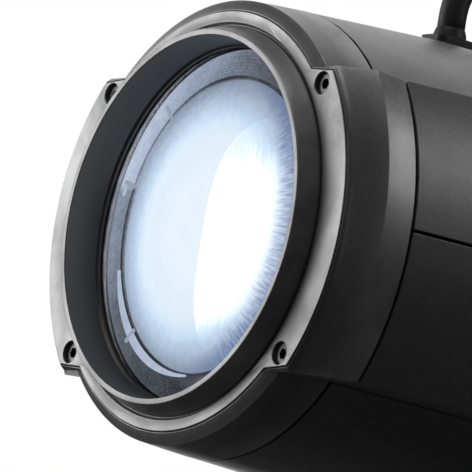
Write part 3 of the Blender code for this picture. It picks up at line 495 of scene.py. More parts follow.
def build_screws():
    for number, (x, z) in enumerate(SCREWS, 1):
        screw = cylinder(SCREW_R, SCREW_TOP, SCREW_END, 40, "Y", (x, 0, z))
        socket = cylinder(SOCKET_R, SCREW_TOP - PAST, SCREW_TOP + SOCKET_DEEP, 6, "Y", (x, 0, z))
        piece(f"screw_{number}", carve(screw, [socket]), SCREW_STEEL, "head",
              f"bezel_screw_{number}", bevel=0.0004)


FIELD_R = RIM_R * 0.785
LENS_FRONT_Y = SEAT_Y + 0.0019
GLASS_T = 0.0022
FIELD_GAP = 0.0045
HOT_Y = 0.0555
HOT_T = 0.001
HOT_HALF_X = 0.066
HOT_HALF_Z = 0.071
HOT_POWER = 3


def dome(radius):
    """Station of the front lens's outer surface at that radius."""
    cap = 1.0
    sag = 0.008
    lean = math.asin(min(1.0, radius / CLEAR_R) * math.sin(cap))
    rise = (math.cos(lean) - math.cos(cap)) / (1 - math.cos(cap))
    return LENS_FRONT_Y - sag * rise


def shallow_cap(radius, offset, thick, steps=24):
    """Front and back profiles of a domed sheet that follows the lens."""
    radii = [radius * i / steps for i in range(steps + 1)]
    front = [(r, dome(r) + offset) for r in radii]
    return front, [(r, y + thick) for r, y in reversed(front)]


def build_lens():
    """The front glass, the frosted element behind it, its rim, and the lit field further in."""
    front, back = shallow_cap(CLEAR_R, 0.0, GLASS_T)
    rim_back = LENS_FRONT_Y + 0.006
    rim = [(LENS_R, LENS_FRONT_Y), (LENS_R, rim_back), (CLEAR_R, rim_back)]
    piece("lens_glass", turned(front + rim + back), LENS_GLASS, "head", "front_lens",
          weighted=False)

    front, back = shallow_cap(FIELD_R, FIELD_GAP, 0.0004)
    piece("lens_field", turned(front + back), LENS_FIELD, "head", weighted=False)

    edge = dome(FIELD_R) + FIELD_GAP
    start = FIELD_R + 0.0002
    end = CLEAR_R - 0.0002
    zone = [(start, edge - 0.0008), (FIELD_R + 0.0010, edge - 0.0014),
            (CLEAR_R - 0.0034, LENS_FRONT_Y + 0.0010), (CLEAR_R - 0.0020, LENS_FRONT_Y + 0.0022),
            (end, LENS_FRONT_Y + 0.0024), (end, LENS_FRONT_Y + 0.0050), (start, edge + 0.0010)]
    piece("lens_edge_zone", turned(zone, FINE_SIDES), LENS_ZONE, "head", weighted=False)

    corners = []
    for angle in range(0, 360, 3):
        across = math.cos(math.radians(angle))
        above = math.sin(math.radians(angle))
        reach = (abs(across) ** HOT_POWER + abs(above) ** HOT_POWER) ** (-1 / HOT_POWER)
        corners.append((HOT_HALF_X * reach * across, HOT_HALF_Z * reach * above))
    hot = loft([along_y(corners, HOT_Y), along_y(corners, HOT_Y + HOT_T)])
    piece("lit_field", hot, HOT, "head", weighted=False)


def band(inner, outer, start, end, y, thick, steps=40, taper=0.0):
    """Flat curved strip about the optical axis between two angles, thinned at its ends by taper."""
    sections = []
    for i in range(steps + 1):
        t = i / steps
        turn = math.radians(start + (end - start) * t)
        pinch = taper * (1 - math.sin(math.pi * t)) * (outer - inner)
        sections.append([(r * math.cos(turn), s, r * math.sin(turn)) for r, s in
                         ((inner, y), (outer - pinch, y), (outer - pinch, y + thick),
                          (inner, y + thick))])
    return loft(sections)


def build_lens_details():
    """Spring strip and clips that hold the inner element, seen through the glass."""
    edge = dome(FIELD_R) + FIELD_GAP
    soft = 0.0003
    strip = band(FIELD_R + 0.0012, FIELD_R + 0.0058, 197, 268, edge - 0.0032, 0.0016, taper=0.75)
    piece("spring_strip", strip, STRIP, "head", bevel=soft)
    clip_t = 0.0012
    for number, (angle, width) in enumerate(((163.5, 1.8), (131.0, 1.4), (226.0, 1.4)), 1):
        clip = band(FIELD_R - 0.0012, FIELD_R + 0.0085, angle - width / 2, angle + width / 2,
                    edge - 0.0034, clip_t, 8)
        piece(f"element_clip_{number}", clip, CLIP, "head", bevel=soft)
    tongue = band(FIELD_R + 0.0050, FIELD_R + 0.0066, 164.0, 168.2, edge - 0.0040, clip_t, 8)
    piece("clip_tongue", tongue, STRIP, "head", bevel=soft)


def build_front_shell():
    """Shell behind the bezel: a sloped band, side wings that flare out, and a hollow back."""
    lip = bezel_outline(-0.0009)
    shell_edge = RIM_R * 1.185
    shell_round = RIM_R * 1.209
    shell_wing = RIM_R * 1.402
    seam_wing = RIM_R * 1.391
    wing_z = RIM_R * 0.797
    seam_wing_z = RIM_R * 0.786
    end = SHELL_END - FACE_Y - 0.0006
    outer = [
        along_y(lip, 0.0009),
        along_y(body_outline(shell_edge - 0.0024, BEZEL_WING_R + 0.0014, wing_z), 0.0030),
        along_y(body_outline(shell_edge + 0.0002, BEZEL_WING_R + 0.0032, wing_z), 0.0047),
        along_y(body_outline(shell_edge + 0.0012, shell_wing, wing_z), 0.0168),
        along_y(body_outline(shell_round, seam_wing, seam_wing_z), end),
    ]
    thin = 0.003
    inner = [
        along_y(body_outline(shell_round - thin, seam_wing - thin, seam_wing_z - thin), end),
        along_y(body_outline(shell_edge - thin, shell_wing - thin - 0.001, wing_z - thin), 0.0188),
        along_y(bezel_outline(-0.0004), 0.0148),
        along_y(bezel_outline(-0.0004), 0.0009),
    ]
    piece("shell", loft(outer + inner, ring=True), COAT, "head", "front_shell", bevel=0.0007)


def lens_field():
    """Painted light on the inner element: a frosted glow, clear enough at its middle to show the lit field behind.
    """
    n = Nodes("lens_field")
    middle_x = -0.007
    mottle = n.noise(260.0, 5.0, 0.65)
    place = n.math("ADD", n.distance(middle_x), n.spread(mottle, 0.3, 0.7, -0.002, 0.002))
    glow = n.ramp(n.spread(place, 0.030, 0.085, 0.0, 1.0), (
        (0.0, (0.73, 0.80, 0.865)), (0.418, (0.66, 0.76, 0.84)), (0.509, (0.58, 0.69, 0.80)),
        (0.573, (0.50, 0.62, 0.74)), (0.627, (0.435, 0.545, 0.675)), (0.682, (0.37, 0.465, 0.59)),
        (0.736, (0.335, 0.418, 0.532)), (0.79, (0.28, 0.345, 0.445)), (0.845, (0.23, 0.28, 0.36)),
        (0.927, (0.175, 0.21, 0.275)), (1.0, (0.115, 0.135, 0.18))))
    speckle = n.noise(1100.0, 2.0, 0.6)
    glow = n.mix(n.spread(speckle, 0.30, 0.70, 0.16, 0.0), glow, (0.30, 0.42, 0.62))
    # Painted caustic: streaked dark rays on a ring off the axis, near the element's rim.
    rays_x = -0.038
    rays_z = 0.006
    rim = n.spread(n.distance(rays_x, rays_z), 0.0905, 0.1000, 0.0, 1.0)
    rays = n.noise(1.0, 2.0, 0.7, n.polar(rays_x, rays_z, 75.0, 60.0))
    streak = n.math("MULTIPLY", rim, n.spread(rays, 0.40, 0.62, 0.15, 1.0))
    glow = n.mix(streak, glow, (0.085, 0.14, 0.27))
    cover = n.spread(n.distance(), 0.055, 0.083, 0.65, 1.0)
    return n.glowing(glow, 1.30, cover)


def lit_field():
    """Painted light of the lit field: white-hot, pale blue and streaked toward its top and bottom edges; its back
    is dark.
    """
    n = Nodes("lit_field")
    height = n.math("ABSOLUTE", n.axis("Z"))
    streaks = n.new("ShaderNodeMapping")
    streaks.inputs["Scale"].default_value = (1.0, 1.0, 0.12)
    streaks.inputs["Rotation"].default_value = (0.0, math.radians(-25), 0.0)
    n.link(n.coord, streaks.inputs["Vector"])
    marks = n.noise(420.0, 3.0, 0.7, streaks.outputs["Vector"])
    reach = n.math("ADD", height, n.spread(marks, 0.35, 0.65, -0.006, 0.006))
    glow = n.ramp(n.spread(reach, 0.040, 0.074, 0.0, 1.0), (
        (0.0, WHITE), (0.22, (0.60, 0.66, 0.74)), (0.40, (0.20, 0.26, 0.33)),
        (0.86, (0.24, 0.31, 0.38)), (0.95, (0.66, 0.72, 0.78)), (1.0, (0.80, 0.84, 0.88))))
    rear = n.spread(n.axis("Y"), HOT_Y + 0.0003, HOT_Y + 0.0006, 0.0, 1.0)
    return n.glowing(n.mix(rear, glow, (0.004, 0.004, 0.004)), 3.2)


def lens_zone():
    """Mottled outer zone of the lens with fine turning rings, in painted light and reflection: brightest toward
    the upper left and above the first clip.
    """
    n = Nodes("lens_zone")
    clip_z = 0.021
    # Painted light: brighter toward the upper left, dimmer below the first clip.
    lean = n.math("ADD", n.math("MULTIPLY", n.axis("X"), -0.92),
                  n.math("MULTIPLY", n.axis("Z"), 0.38))
    light = n.math("POWER", n.spread(lean, -0.03, 0.092, 0.0, 1.0), 1.5)
    light = n.math("MULTIPLY", light, n.spread(n.axis("Z"), clip_z, clip_z + 0.004, 0.58, 1.0))
    fine = n.noise(620.0, 5.0, 0.7)
    blotch = n.noise(90.0, 4.0, 0.6)
    radius = n.distance()
    rings = n.math("SINE", n.math("MULTIPLY", radius, 3400.0))
    edge_gap = n.math("ABSOLUTE", n.math("SUBTRACT", radius, FIELD_R + 0.0012))
    marks = n.math("ADD", n.spread(fine, 0.3, 0.7, -0.09, 0.11),
                   n.spread(rings, -1.0, 1.0, -0.03, 0.03))
    marks = n.math("ADD", marks, n.spread(blotch, 0.3, 0.7, -0.05, 0.07))
    marks = n.math("ADD", marks, n.spread(edge_gap, 0.0002, 0.0011, -0.45, 0.0))
    mixed = n.math("ADD", n.math("MULTIPLY", light, 0.85), n.math("ADD", marks, 0.04))
    glow = n.ramp(mixed, ((0.0, (0.030, 0.032, 0.038)), (0.30, (0.12, 0.135, 0.165)),
                          (0.75, (0.38, 0.46, 0.61)), (1.0, (0.58, 0.67, 0.82))))
    return n.glowing(glow, 0.95)


def flat_glow(name, colour):
    """Small metal part drawn in painted light, glowing as if lit by the lens."""
    n = Nodes(name)
    shade = n.mix(n.spread(n.noise(160.0, 4.0, 0.6), 0.3, 0.7, 0.0, 1.0),
                  tuple(c * 0.85 for c in colour), colour)
    return n.glowing(shade, 1.0)


def coated_glass():
    """Thin glass that bends nothing: clear straight on, with faint reflections near its edge."""
    n = Nodes("front_lens_glass")
    clear = n.new("ShaderNodeBsdfTransparent")
    gloss = n.new("ShaderNodeBsdfGlossy")
    gloss.inputs["Roughness"].default_value = 0.06
    gloss.inputs["Color"].default_value = (0.70, 0.74, 0.90, 1.0)
    facing = n.new("ShaderNodeLayerWeight")
    facing.inputs["Blend"].default_value = 0.5
    slant = n.math("MULTIPLY", n.math("POWER", facing.outputs["Facing"], 6.0), 0.25)
    mix = n.new("ShaderNodeMixShader")
    dust = n.spread(n.noise(90.0, 6.0, 0.7), 0.5, 0.8, 0.008, 0.03)
    n.link(n.math("ADD", slant, dust), mix.inputs[0])
    n.link(clear.outputs[0], mix.inputs[1])
    n.link(gloss.outputs[0], mix.inputs[2])
    n.link(mix.outputs[0], n.tree.nodes["Material Output"].inputs["Surface"])
    return n.material


# The shell, bezel and screw coats carry painted edge highlights.
COAT = powder_coat("shell_powder_coat", **SATIN, edge_glint=0.9)
# The bezel's coat darkens the hood's inner wall as painted shade.
BEZEL_COAT = powder_coat("bezel_powder_coat", **SATIN, edge_glint=0.9,
                         shade_within=RIM_R - HOOD_WALL + 0.0001)
SCREW_STEEL = powder_coat("blackened_screw_steel", (0.16, 0.16, 0.165), 0.9, 0.34, 900.0, 0.4)
LENS_GLASS = coated_glass()
LENS_FIELD = lens_field()
LENS_ZONE = lens_zone()
HOT = lit_field()
STRIP = flat_glow("spring_strip_painted_glow", (0.46, 0.54, 0.68))
CLIP = flat_glow("clip_painted_glow", (0.34, 0.38, 0.48))

build_bezel()
build_screws()
build_lens()
build_lens_details()
build_front_shell()


# ---------------------------------------------------------------- hardware shared by several parts
def rounded_path(corners, radius):
    """Points along a bent bar whose inner corners are rounded."""
    steps = 14
    route = [Vector(corners[0])]
    for before, corner, after in zip(corners, corners[1:], corners[2:]):
        corner = Vector(corner)
        start = corner + (Vector(before) - corner).normalized() * radius
        end = corner + (Vector(after) - corner).normalized() * radius
        for i in range(steps + 1):
            t = i / steps
            route.append(start * (1 - t) ** 2 + corner * 2 * t * (1 - t) + end * t ** 2)
    return route + [Vector(corners[-1])]


def swept(route, radius, normal):
    """Round bar along a flat route; normal is square to the route's plane."""
    sides = 28
    normal = Vector(normal)
    sections = []
    for i, point in enumerate(route):
        ahead = route[min(i + 1, len(route) - 1)] - route[max(i - 1, 0)]
        side = ahead.normalized().cross(normal)
        sections.append([point + side * u + normal * v
                         for u, v in arc(radius, 0, 2 * math.pi, sides)[:-1]])
    return loft(sections)


def rounded_box(size, radius, axis="Y"):
    """Box centred on its origin whose corners seen along axis are rounded."""
    steps = 5
    order = {"X": (1, 2, 0), "Y": (0, 2, 1), "Z": (0, 1, 2)}[axis]
    half = [value / 2 for value in size]
    u, v, w = (half[i] for i in order)
    outline = []
    for cu, cv, start in ((u, v, 0), (-u, v, 90), (-u, -v, 180), (u, -v, 270)):
        outline += arc(radius, math.radians(start), math.radians(start + 90), steps,
                       (cu - math.copysign(radius, cu), cv - math.copysign(radius, cv)))
    sections = []
    for level in (-w, w):
        section = []
        for p, q in outline:
            point = [0.0, 0.0, 0.0]
            point[order[0]], point[order[1]], point[order[2]] = p, q, level
            section.append(point)
        sections.append(section)
    return loft(sections)


def button_screw(name, place, axis, outward, body, radius):
    """Low domed screw head with a hex socket, standing on a surface; outward is 1 or -1."""
    height = radius * 0.45 * outward
    sunk = -0.0004 * outward
    profile = [(0, sunk), (radius, sunk), (radius, height * 0.25), (radius * 0.82, height * 0.75),
               (radius * 0.55, height), (0, height)]
    head = turned(profile, 28, axis)
    ends = sorted((height * 0.3, height * 2.0))
    socket = cylinder(radius * 0.42, ends[0], ends[1], 6, axis)
    piece(name, carve(head, [socket]), SCREW_STEEL, body, origin=Vector(place))


# ---------------------------------------------------------------- knobs, handles and levers
def lobed(radius, start, end, lobes, edge=0.0035):
    """Hand knob about Y with rounded lobes and rolled edges."""
    rolls = 5
    per_lobe = 16
    depth = 0.07
    stations = []
    for i in range(rolls + 1):
        turn = math.pi / 2 * i / rolls
        stations.append((start + edge * (1 - math.cos(turn)), 1 - 0.10 * (1 - math.sin(turn))))
    for i in range(rolls, -1, -1):
        turn = math.pi / 2 * i / rolls
        stations.append((end - edge * (1 - math.cos(turn)), 1 - 0.14 * (1 - math.sin(turn))))
    count = lobes * per_lobe
    sections = []
    for along, size in stations:
        ring = []
        for i in range(count):
            angle = 2 * math.pi * i / count
            reach = size * radius * (1 - depth + depth * math.cos(lobes * angle))
            ring.append((reach * math.cos(angle), along, reach * math.sin(angle)))
        sections.append(ring)
    return loft(sections)


def build_tilt_knobs():
    """Seven-lobed knobs on both tilt pins, each with a metal cap in a shallow recess."""
    grip_r = 0.030
    recess_r = 0.0135
    recess = 0.0025
    cap_r = 0.0130
    for side, name in ((-1, "left"), (1, "right")):
        node = "tilt_lock_knob_" + name
        body = "tilt_lock_" + name
        place = centre(node)
        half = (high(node).x - low(node).x) / 2
        grip = lobed(grip_r, -half, half, 7)
        grip.transform(AXIS_TURN["X"])
        if side < 0:
            grip.transform(Matrix.Rotation(math.pi, 4, "Z"))
        ends = sorted((side * (half - recess), side * (half + 2 * PAST)))
        grip = carve(grip, [cylinder(recess_r, ends[0], ends[1], 48, "X")])
        piece("knob_grip_" + name, grip, LOOK["black_plastic"], body, node, origin=place,
              bevel=0.0006)
        face = side * (half - recess - 0.0001)
        cap = turned([(0, face - side * 0.002), (cap_r, face - side * 0.002),
                      (cap_r, face + side * 0.0006), (0.0118, face + side * 0.0012),
                      (0, face + side * 0.0016)], 48, "X")
        piece("knob_cap_" + name, cap, LOOK["aluminium"], body, origin=place)


def build_pan_knob():
    """Six-lobed knob on the pedestal, in one piece with its stem."""
    node = "pan_lock_knob"
    place = Vector((0.0, low(node).y, centre(node).z))
    reach = high(node).y - low(node).y
    grip = lobed(0.022, reach - 0.0180, reach, 6, 0.003)
    stem = cylinder(0.005, 0.0, reach - 0.012, 32)
    piece("pan_knob_grip", carve(grip, [stem], "UNION"), LOOK["black_plastic"], "pan_lock", node,
          origin=place)


def build_top_handle():
    """Bent grab handle on two screwed feet."""
    node = "top_handle"
    bar_r = 0.008
    foot_size = (0.020, 0.028, 0.005)
    foot_z = low(node).z
    start = low(node).y + foot_size[1] / 2
    end = high(node).y - foot_size[1] / 2
    origin = Vector((0.0, (start + end) / 2, foot_z))
    span = (end - start) / 2
    rise = high(node).z - bar_r - foot_z
    sunk = 0.003
    route = rounded_path([(0, -span, sunk), (0, -span, rise), (0, span, rise), (0, span, sunk)],
                         0.028)
    piece("top_handle_bar", swept(route, bar_r, (1, 0, 0)), LOOK["black_plastic"], "head", node,
          origin=origin, weighted=False)
    collar = [(0, 0.004), (0.0098, 0.004), (0.0094, 0.0075), (bar_r + 0.0002, 0.011), (0, 0.011)]
    for name, y in (("front", -span), ("rear", span)):
        foot = rounded_box(foot_size, 0.004, "Z")
        foot.transform(Matrix.Translation((0, y, foot_size[2] / 2)))
        foot = carve(foot, [turned(collar, 40, "Z", (0, y, 0))], "UNION")
        piece("top_handle_foot_" + name, foot, LOOK["black_plastic"], "head", origin=origin,
              bevel=0.0005)


def build_rear_handle():
    """Steel bar across the rear panel with a ribbed rubber sleeve and turned feet."""
    node = "rear_handle"
    bar_r = 0.0082
    sleeve_r = 0.0090
    sleeve_half = 0.081
    rib_pitch = 0.006
    rib_count = 26
    face = low(node).y
    reach = high(node).y - sleeve_r - face
    post_x = high(node).x - 0.017
    origin = Vector((0.0, face, AXIS_Z))
    sunk = 0.003
    route = rounded_path([(-post_x, sunk, 0), (-post_x, reach, 0), (post_x, reach, 0),
                          (post_x, sunk, 0)], 0.030)
    piece("rear_handle_bar", swept(route, bar_r, (0, 0, 1)), LOOK["black_coat"], "head", node,
          origin=origin, weighted=False)
    groove_r = sleeve_r - 0.0006
    sleeve = [(0, -sleeve_half - PAST), (bar_r, -sleeve_half - PAST), (sleeve_r, -sleeve_half)]
    for i in range(rib_count):
        x = -0.078 + rib_pitch * i
        sleeve += [(sleeve_r, x), (groove_r, x + 0.0012), (groove_r, x + 0.0022),
                   (sleeve_r, x + 0.0034)]
    sleeve += [(sleeve_r, sleeve_half), (bar_r, sleeve_half + PAST), (0, sleeve_half + PAST)]
    piece("rear_handle_sleeve", turned(sleeve, 40, "X", (0, reach, 0)), LOOK["rubber"], "head",
          origin=origin)
    foot = [(0, 0), (0.017, 0), (0.017, 0.0036), (0.0155, 0.005), (0.0105, 0.006),
            (0.0085, 0.010), (0, 0.010)]
    for name, x in (("left", -post_x), ("right", post_x)):
        piece("rear_handle_foot_" + name, turned(foot, 56, "Y", (x, 0, 0)), LOOK["black_coat"],
              "head", origin=origin, bevel=0.0004)


def build_slide_knobs():
    """Knurled knobs with a dished face on the focus and zoom carriages."""
    teeth = 120
    tip_r = 0.0140
    root_r = 0.0134
    stem_r = 0.004
    dish_r = 0.0085
    profile = ((0.0, 0.84), (0.0010, 0.93), (0.0022, 1.0), (0.0128, 1.0), (0.0140, 0.95),
               (0.0150, 0.86))
    knurl = [(2 * math.pi * i / teeth, tip_r if i % 4 in (0, 1) else root_r) for i in range(teeth)]
    for slide in ("focus", "zoom"):
        node = slide + "_knob"
        body = slide + "_slide"
        place = centre(node)
        outer = low(node).x - place.x
        inner = high(node).x - place.x
        sections = [[(r * size * math.cos(a), outer + along, r * size * math.sin(a))
                     for a, r in knurl] for along, size in profile]
        grip = loft(sections)
        grip.transform(Matrix.Rotation(-math.pi / 2, 4, "Z"))
        dish = cylinder(dish_r, outer - PAST, outer + 0.0006, 40, "X")
        stem = cylinder(stem_r, outer + 0.010, inner, 24, "X")
        piece(slide + "_knob_grip", carve(grip, [dish]), LOOK["black_plastic"], body, node,
              origin=place)
        piece(slide + "_knob_stem", stem, LOOK["steel"], body, origin=place)


# ---------------------------------------------------------------- base, yoke and rear details
def build_base_plate():
    """Round steel plate with a faint groove round the pedestal, on a rubber ring."""
    node = "base_plate"
    radius = high(node).x
    top = high(node).z
    groove_r = 0.079
    plate = turned([(0, 0.0015), (radius - 0.004, 0.0015), (radius, 0.003), (radius, top - 0.0025),
                    (radius - 0.0008, top - 0.0010), (radius - 0.0028, top), (groove_r + 0.001, top),
                    (groove_r, top - 0.0004), (groove_r - 0.001, top), (0, top)], 220, "Z")
    piece("base_disc", plate, LOOK["black_coat"], "base", node, origin=(0, 0, 0))
    foot = turned([(radius - 0.024, 0), (radius - 0.010, 0), (radius - 0.009, 0.0016),
                   (radius - 0.025, 0.0016)], 160, "Z")
    piece("base_foot_ring", foot, LOOK["rubber"], "base", origin=(0, 0, 0))


def build_pedestal():
    """Flanged column with a bore for the pan spindle, a hole for the lock, and six screws."""
    node = "pedestal"
    start = low(node).z
    end = high(node).z
    floor_z = end - 0.066
    bore_r = 0.0154
    flange_r = 0.075
    column_r = 0.032
    collar_r = 0.040
    column = turned([
        (0, start), (flange_r, start), (flange_r, start + 0.0055), (0.0742, start + 0.0072),
        (0.0725, start + 0.008), (0.0440, start + 0.0125), (0.0375, start + 0.0160),
        (0.0335, start + 0.0205), (column_r, start + 0.027), (column_r, floor_z - 0.014),
        (0.0335, floor_z - 0.0085), (0.0385, floor_z - 0.0025), (collar_r, floor_z + 0.001),
        (collar_r, end - 0.002), (0.0394, end - 0.0006), (0.038, end), (bore_r, end),
        (bore_r, floor_z), (0, floor_z)], 120, "Z")
    lock_hole = cylinder(0.0056, 0.010, 0.050, 32, "Y", (0, 0, centre("pan_lock_knob").z))
    piece("pedestal_column", carve(column, [lock_hole]), LOOK["black_coat"], "base", node,
          origin=(0, 0, 0))
    screw_circle = 0.060
    screws = 6
    for number in range(screws):
        turn = math.radians(360 / screws * number + 30)
        place = (screw_circle * math.cos(turn), screw_circle * math.sin(turn), start + 0.0094)
        button_screw(f"pedestal_screw_{number + 1}", place, "Z", 1, "base", 0.0042)


def build_yoke_bolts():
    """Two bolts through the foot of each yoke arm into the crossbar."""
    spacing = 0.026
    level = centre("yoke_crossbar").z
    for side, name in ((-1, "left"), (1, "right")):
        face = high("yoke_arm_right").x * side
        for number, y in enumerate((-spacing / 2, spacing / 2), 1):
            button_screw(f"yoke_bolt_{name}_{number}", (face, y, level), "X", side, "yoke", 0.0040)


def build_cover_screws():
    """Screws above and below the slit between the side covers."""
    from_slit = 0.026
    sunk = 0.0004
    wing_r = high("side_cover_upper_right").x
    number = 0
    for side in (-1, 1):
        for y in (0.150, 0.420, 0.690, 0.885):
            for z in (-from_slit, from_slit):
                number += 1
                x = side * (math.sqrt(wing_r ** 2 - z ** 2) - sunk)
                button_screw(f"cover_screw_{number}", (x, FACE_Y + y, AXIS_Z + z), "X", side,
                             "head", 0.0026)


def build_control_panel():
    """Panel box with a sunken screen and four soft keys."""
    node = "control_panel"
    size = high(node) - low(node)
    thick = 0.012
    screen_x = -0.024
    origin = Vector((centre(node).x, low(node).y + thick / 2, centre(node).z))
    window = rounded_box((0.052, 0.004, 0.026), 0.0015)
    window.transform(Matrix.Translation((screen_x, thick / 2, 0)))
    box = carve(rounded_box((size.x, thick, size.z), 0.004), [window])
    piece("panel_box", box, LOOK["black_plastic"], "head", node, origin=origin, bevel=0.0006)
    screen = rounded_box((0.0514, 0.0006, 0.0254), 0.0012)
    screen.transform(Matrix.Translation((screen_x, thick / 2 - 0.0014, 0)))
    piece("panel_screen", screen, screen_glass(), "head", origin=origin)
    number = 0
    for x in (0.018, 0.036):
        for z in (-0.008, 0.008):
            number += 1
            key = rounded_box((0.0118, 0.0030, 0.0098), 0.002)
            key.transform(Matrix.Translation((x, thick / 2 + 0.0004, z)))
            piece(f"panel_key_{number}", key, LOOK["rubber"], "head", origin=origin, bevel=0.0007)


def build_inlet_pins():
    """Three flat contact pins inside the mains inlet."""
    node = "power_inlet"
    place = centre(node)
    along = low(node).y - place.y + 0.0135
    side_x = 0.0062
    for name, x, z in (("earth", 0.0, 0.0035), ("left", -side_x, -0.0022),
                       ("right", side_x, -0.0022)):
        pin = rounded_box((0.0016, 0.0150, 0.0038), 0.0006)
        pin.transform(Matrix.Translation((x, along, z)))
        piece("inlet_pin_" + name, pin, LOOK["steel"], "head", origin=place)


def build_rear_screws():
    """Screws round the rear panel's edge: wider out on the wings than at top and bottom."""
    inset = 0.012
    wing_reach = high("side_cover_upper_right").x - inset
    round_reach = high("top_cover").z - AXIS_Z - inset
    back = high("rear_panel").y - 0.0002
    for number, angle in enumerate((-30, 30, 60, 120, 150, 210, 240, 300), 1):
        turn = math.radians(angle)
        reach = wing_reach if abs(math.cos(turn)) > 0.7 else round_reach
        place = (reach * math.cos(turn), back, AXIS_Z + reach * math.sin(turn))
        button_screw(f"rear_screw_{number}", place, "Y", 1, "head", 0.0032)


def screen_glass():
    """Dark display behind glass with a soft blue band; it shows no characters."""
    n = Nodes("display_glass")
    rows = n.math("ABSOLUTE", n.axis("Z"))
    lit = n.spread(rows, 0.0022, 0.0034, 1.0, 0.0)
    return n.set(Base_Color=n.mix(n.noise(80.0), (0.006, 0.008, 0.012), (0.012, 0.015, 0.022)),
                 Roughness=0.12, Coat_Weight=0.6, Emission_Color=(0.10, 0.30, 0.55),
                 Emission_Strength=n.math("MULTIPLY", lit, 0.35))


def colour_filter(name, colour):
    """Dyed glass: the tint is even, with a faint cloudy coating."""
    n = Nodes(name)
    deep = tuple(c * 0.8 for c in colour)
    cloud = n.noise(60.0, 4.0, 0.6)
    return n.set(Base_Color=n.mix(n.spread(cloud, 0.3, 0.7, 0.0, 1.0), deep, colour),
                 Roughness=0.08, Coat_Weight=0.5, Specular_IOR_Level=0.6)


def build_filters():
    """Tinted discs in the round windows of the three parked colour frames."""
    filter_r = 0.0348
    filter_t = 0.0008
    parked = math.radians(45)
    rod = centre("control_rod")
    drop = rod.z - AXIS_Z
    middle = Vector((drop * math.sin(parked), 0.0, -drop * math.cos(parked)))
    tints = ((0.85, 0.42, 0.06), (0.08, 0.24, 0.75), (0.72, 0.10, 0.22))
    for number, tint in enumerate(tints, 1):
        pivot = Vector((rod.x, centre(f"color_frame_{number}").y, rod.z))
        glass = colour_filter(f"filter_glass_{number}", tint)
        for face, start in (("front", -0.0018), ("rear", 0.0010)):
            disc = cylinder(filter_r, start, start + filter_t, 64, "Y", middle)
            piece(f"filter_{face}_{number}", disc, glass, f"color_{number}", origin=pivot)


# ---------------------------------------------------------------- studio
def softbox(name, direction, distance, size, power):
    """White area light that looks at the bezel from that direction."""
    data = bpy.data.lights.new(name, "AREA")
    data.shape = "RECTANGLE"
    data.size, data.size_y = size
    data.energy = power
    item = bpy.data.objects.new(name, data)
    bpy.context.collection.objects.link(item)
    item.location = HEAD_ORIGIN + Vector(direction).normalized() * distance
    aim = HEAD_ORIGIN - item.location
    item.rotation_euler = aim.to_track_quat("-Z", "Y").to_euler()


def pale_floor():
    """Pale to the eye, but it throws little light back up at the head's underside."""
    n = Nodes("pale_floor")
    seen = n.new("ShaderNodeLightPath").outputs["Is Camera Ray"]
    pale = n.mix(n.noise(3.0), (0.47, 0.47, 0.47), (0.50, 0.50, 0.50))
    return n.set(Base_Color=n.mix(seen, (0.06, 0.06, 0.06), pale), Roughness=0.8,
                 Emission_Color=WHITE, Emission_Strength=n.math("MULTIPLY", seen, 0.60))


def build_floor():
    floor = bpy.data.meshes.new("floor")
    mesh = bmesh.new()
    bmesh.ops.create_circle(mesh, cap_ends=True, segments=96, radius=3.5)
    mesh.to_mesh(floor)
    mesh.free()
    floor.materials.append(pale_floor())
    item = bpy.data.objects.new("floor", floor)
    bpy.context.collection.objects.link(item)


def build_world():
    """White backdrop to the eye, and only a faint even light on the part."""
    world = bpy.data.worlds.new("studio")
    bpy.context.scene.world = world
    world.use_nodes = True
    tree = world.node_tree
    ambient = tree.nodes["Background"]
    backdrop = tree.nodes.new("ShaderNodeBackground")
    for shader, strength in ((ambient, 0.045), (backdrop, 1.0)):
        shader.inputs["Color"].default_value = (*WHITE, 1.0)
        shader.inputs["Strength"].default_value = strength
    rays = tree.nodes.new("ShaderNodeLightPath")
    mix = tree.nodes.new("ShaderNodeMixShader")
    tree.links.new(rays.outputs["Is Camera Ray"], mix.inputs["Fac"])
    tree.links.new(ambient.outputs["Background"], mix.inputs[1])
    tree.links.new(backdrop.outputs["Background"], mix.inputs[2])
    tree.links.new(mix.outputs["Shader"], tree.nodes["World Output"].inputs["Surface"])


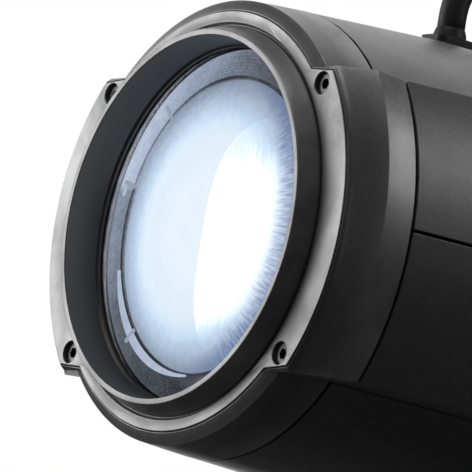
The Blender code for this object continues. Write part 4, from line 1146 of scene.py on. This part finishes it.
def build_lights():
    softbox("front_left_panel", (-0.80, -0.59, 0.13), 2.4, (2.2, 2.2), 28.0)
    softbox("back_left_panel", (-0.72, 0.50, 0.48), 2.4, (2.2, 1.8), 12.5)
    softbox("back_right_panel", (0.52, 0.66, 0.48), 2.4, (1.4, 1.0), 5.8)
    softbox("overhead_panel", (0.08, -0.25, 1.0), 2.0, (1.0, 1.0), 8.0)
    softbox("fill_panel", (0.81, -0.59, 0.10), 3.0, (1.5, 1.5), 1.2)
    softbox("back_top_panel", (-0.20, 0.60, 0.77), 2.4, (1.2, 0.9), 2.4)
    softbox("low_back_left_panel", (-0.80, 0.59, -0.12), 2.2, (1.0, 0.3), 2.0)


CAMERA_REACH = 30.80569
CAMERA_TURN = 54.01719
CAMERA_RISE = -7.76491
LOOK_TURN = 53.58218
LOOK_RISE = -7.65032
CAMERA_ROLL = 9.03951


def toward(turn, rise):
    """Unit vector at turn degrees from the beam toward +X and rise degrees above level."""
    turn = math.radians(turn)
    rise = math.radians(rise)
    return Vector((math.cos(rise) * math.sin(turn), -math.cos(rise) * math.cos(turn),
                   math.sin(rise)))


def build_camera():
    """Long lens, low and to the right of the head's front, rolled; the reach counts hood radii."""
    data = bpy.data.cameras.new("camera")
    data.sensor_width = 36.0
    data.lens = 450.6
    data.shift_x = 0.0019
    data.shift_y = 0.0058
    data.clip_start = 0.05
    data.clip_end = 50.0
    item = bpy.data.objects.new("camera", data)
    bpy.context.collection.objects.link(item)
    back = toward(LOOK_TURN, LOOK_RISE)
    level = toward(LOOK_TURN + 90, 0.0)
    right = Matrix.Rotation(math.radians(CAMERA_ROLL), 3, back) @ level
    turn = Matrix((right, back.cross(right), back)).transposed().to_4x4()
    place = HEAD_ORIGIN + toward(CAMERA_TURN, CAMERA_RISE) * RIM_R * CAMERA_REACH
    item.matrix_world = Matrix.Translation(place) @ turn
    bpy.context.scene.camera = item


build_tilt_knobs()
build_pan_knob()
build_top_handle()
build_rear_handle()
build_slide_knobs()
build_base_plate()
build_pedestal()
build_yoke_bolts()
build_cover_screws()
build_control_panel()
build_inlet_pins()
build_rear_screws()
build_filters()
build_floor()
build_world()
build_lights()
build_camera()
bpy.context.scene.view_settings.view_transform = "Standard"
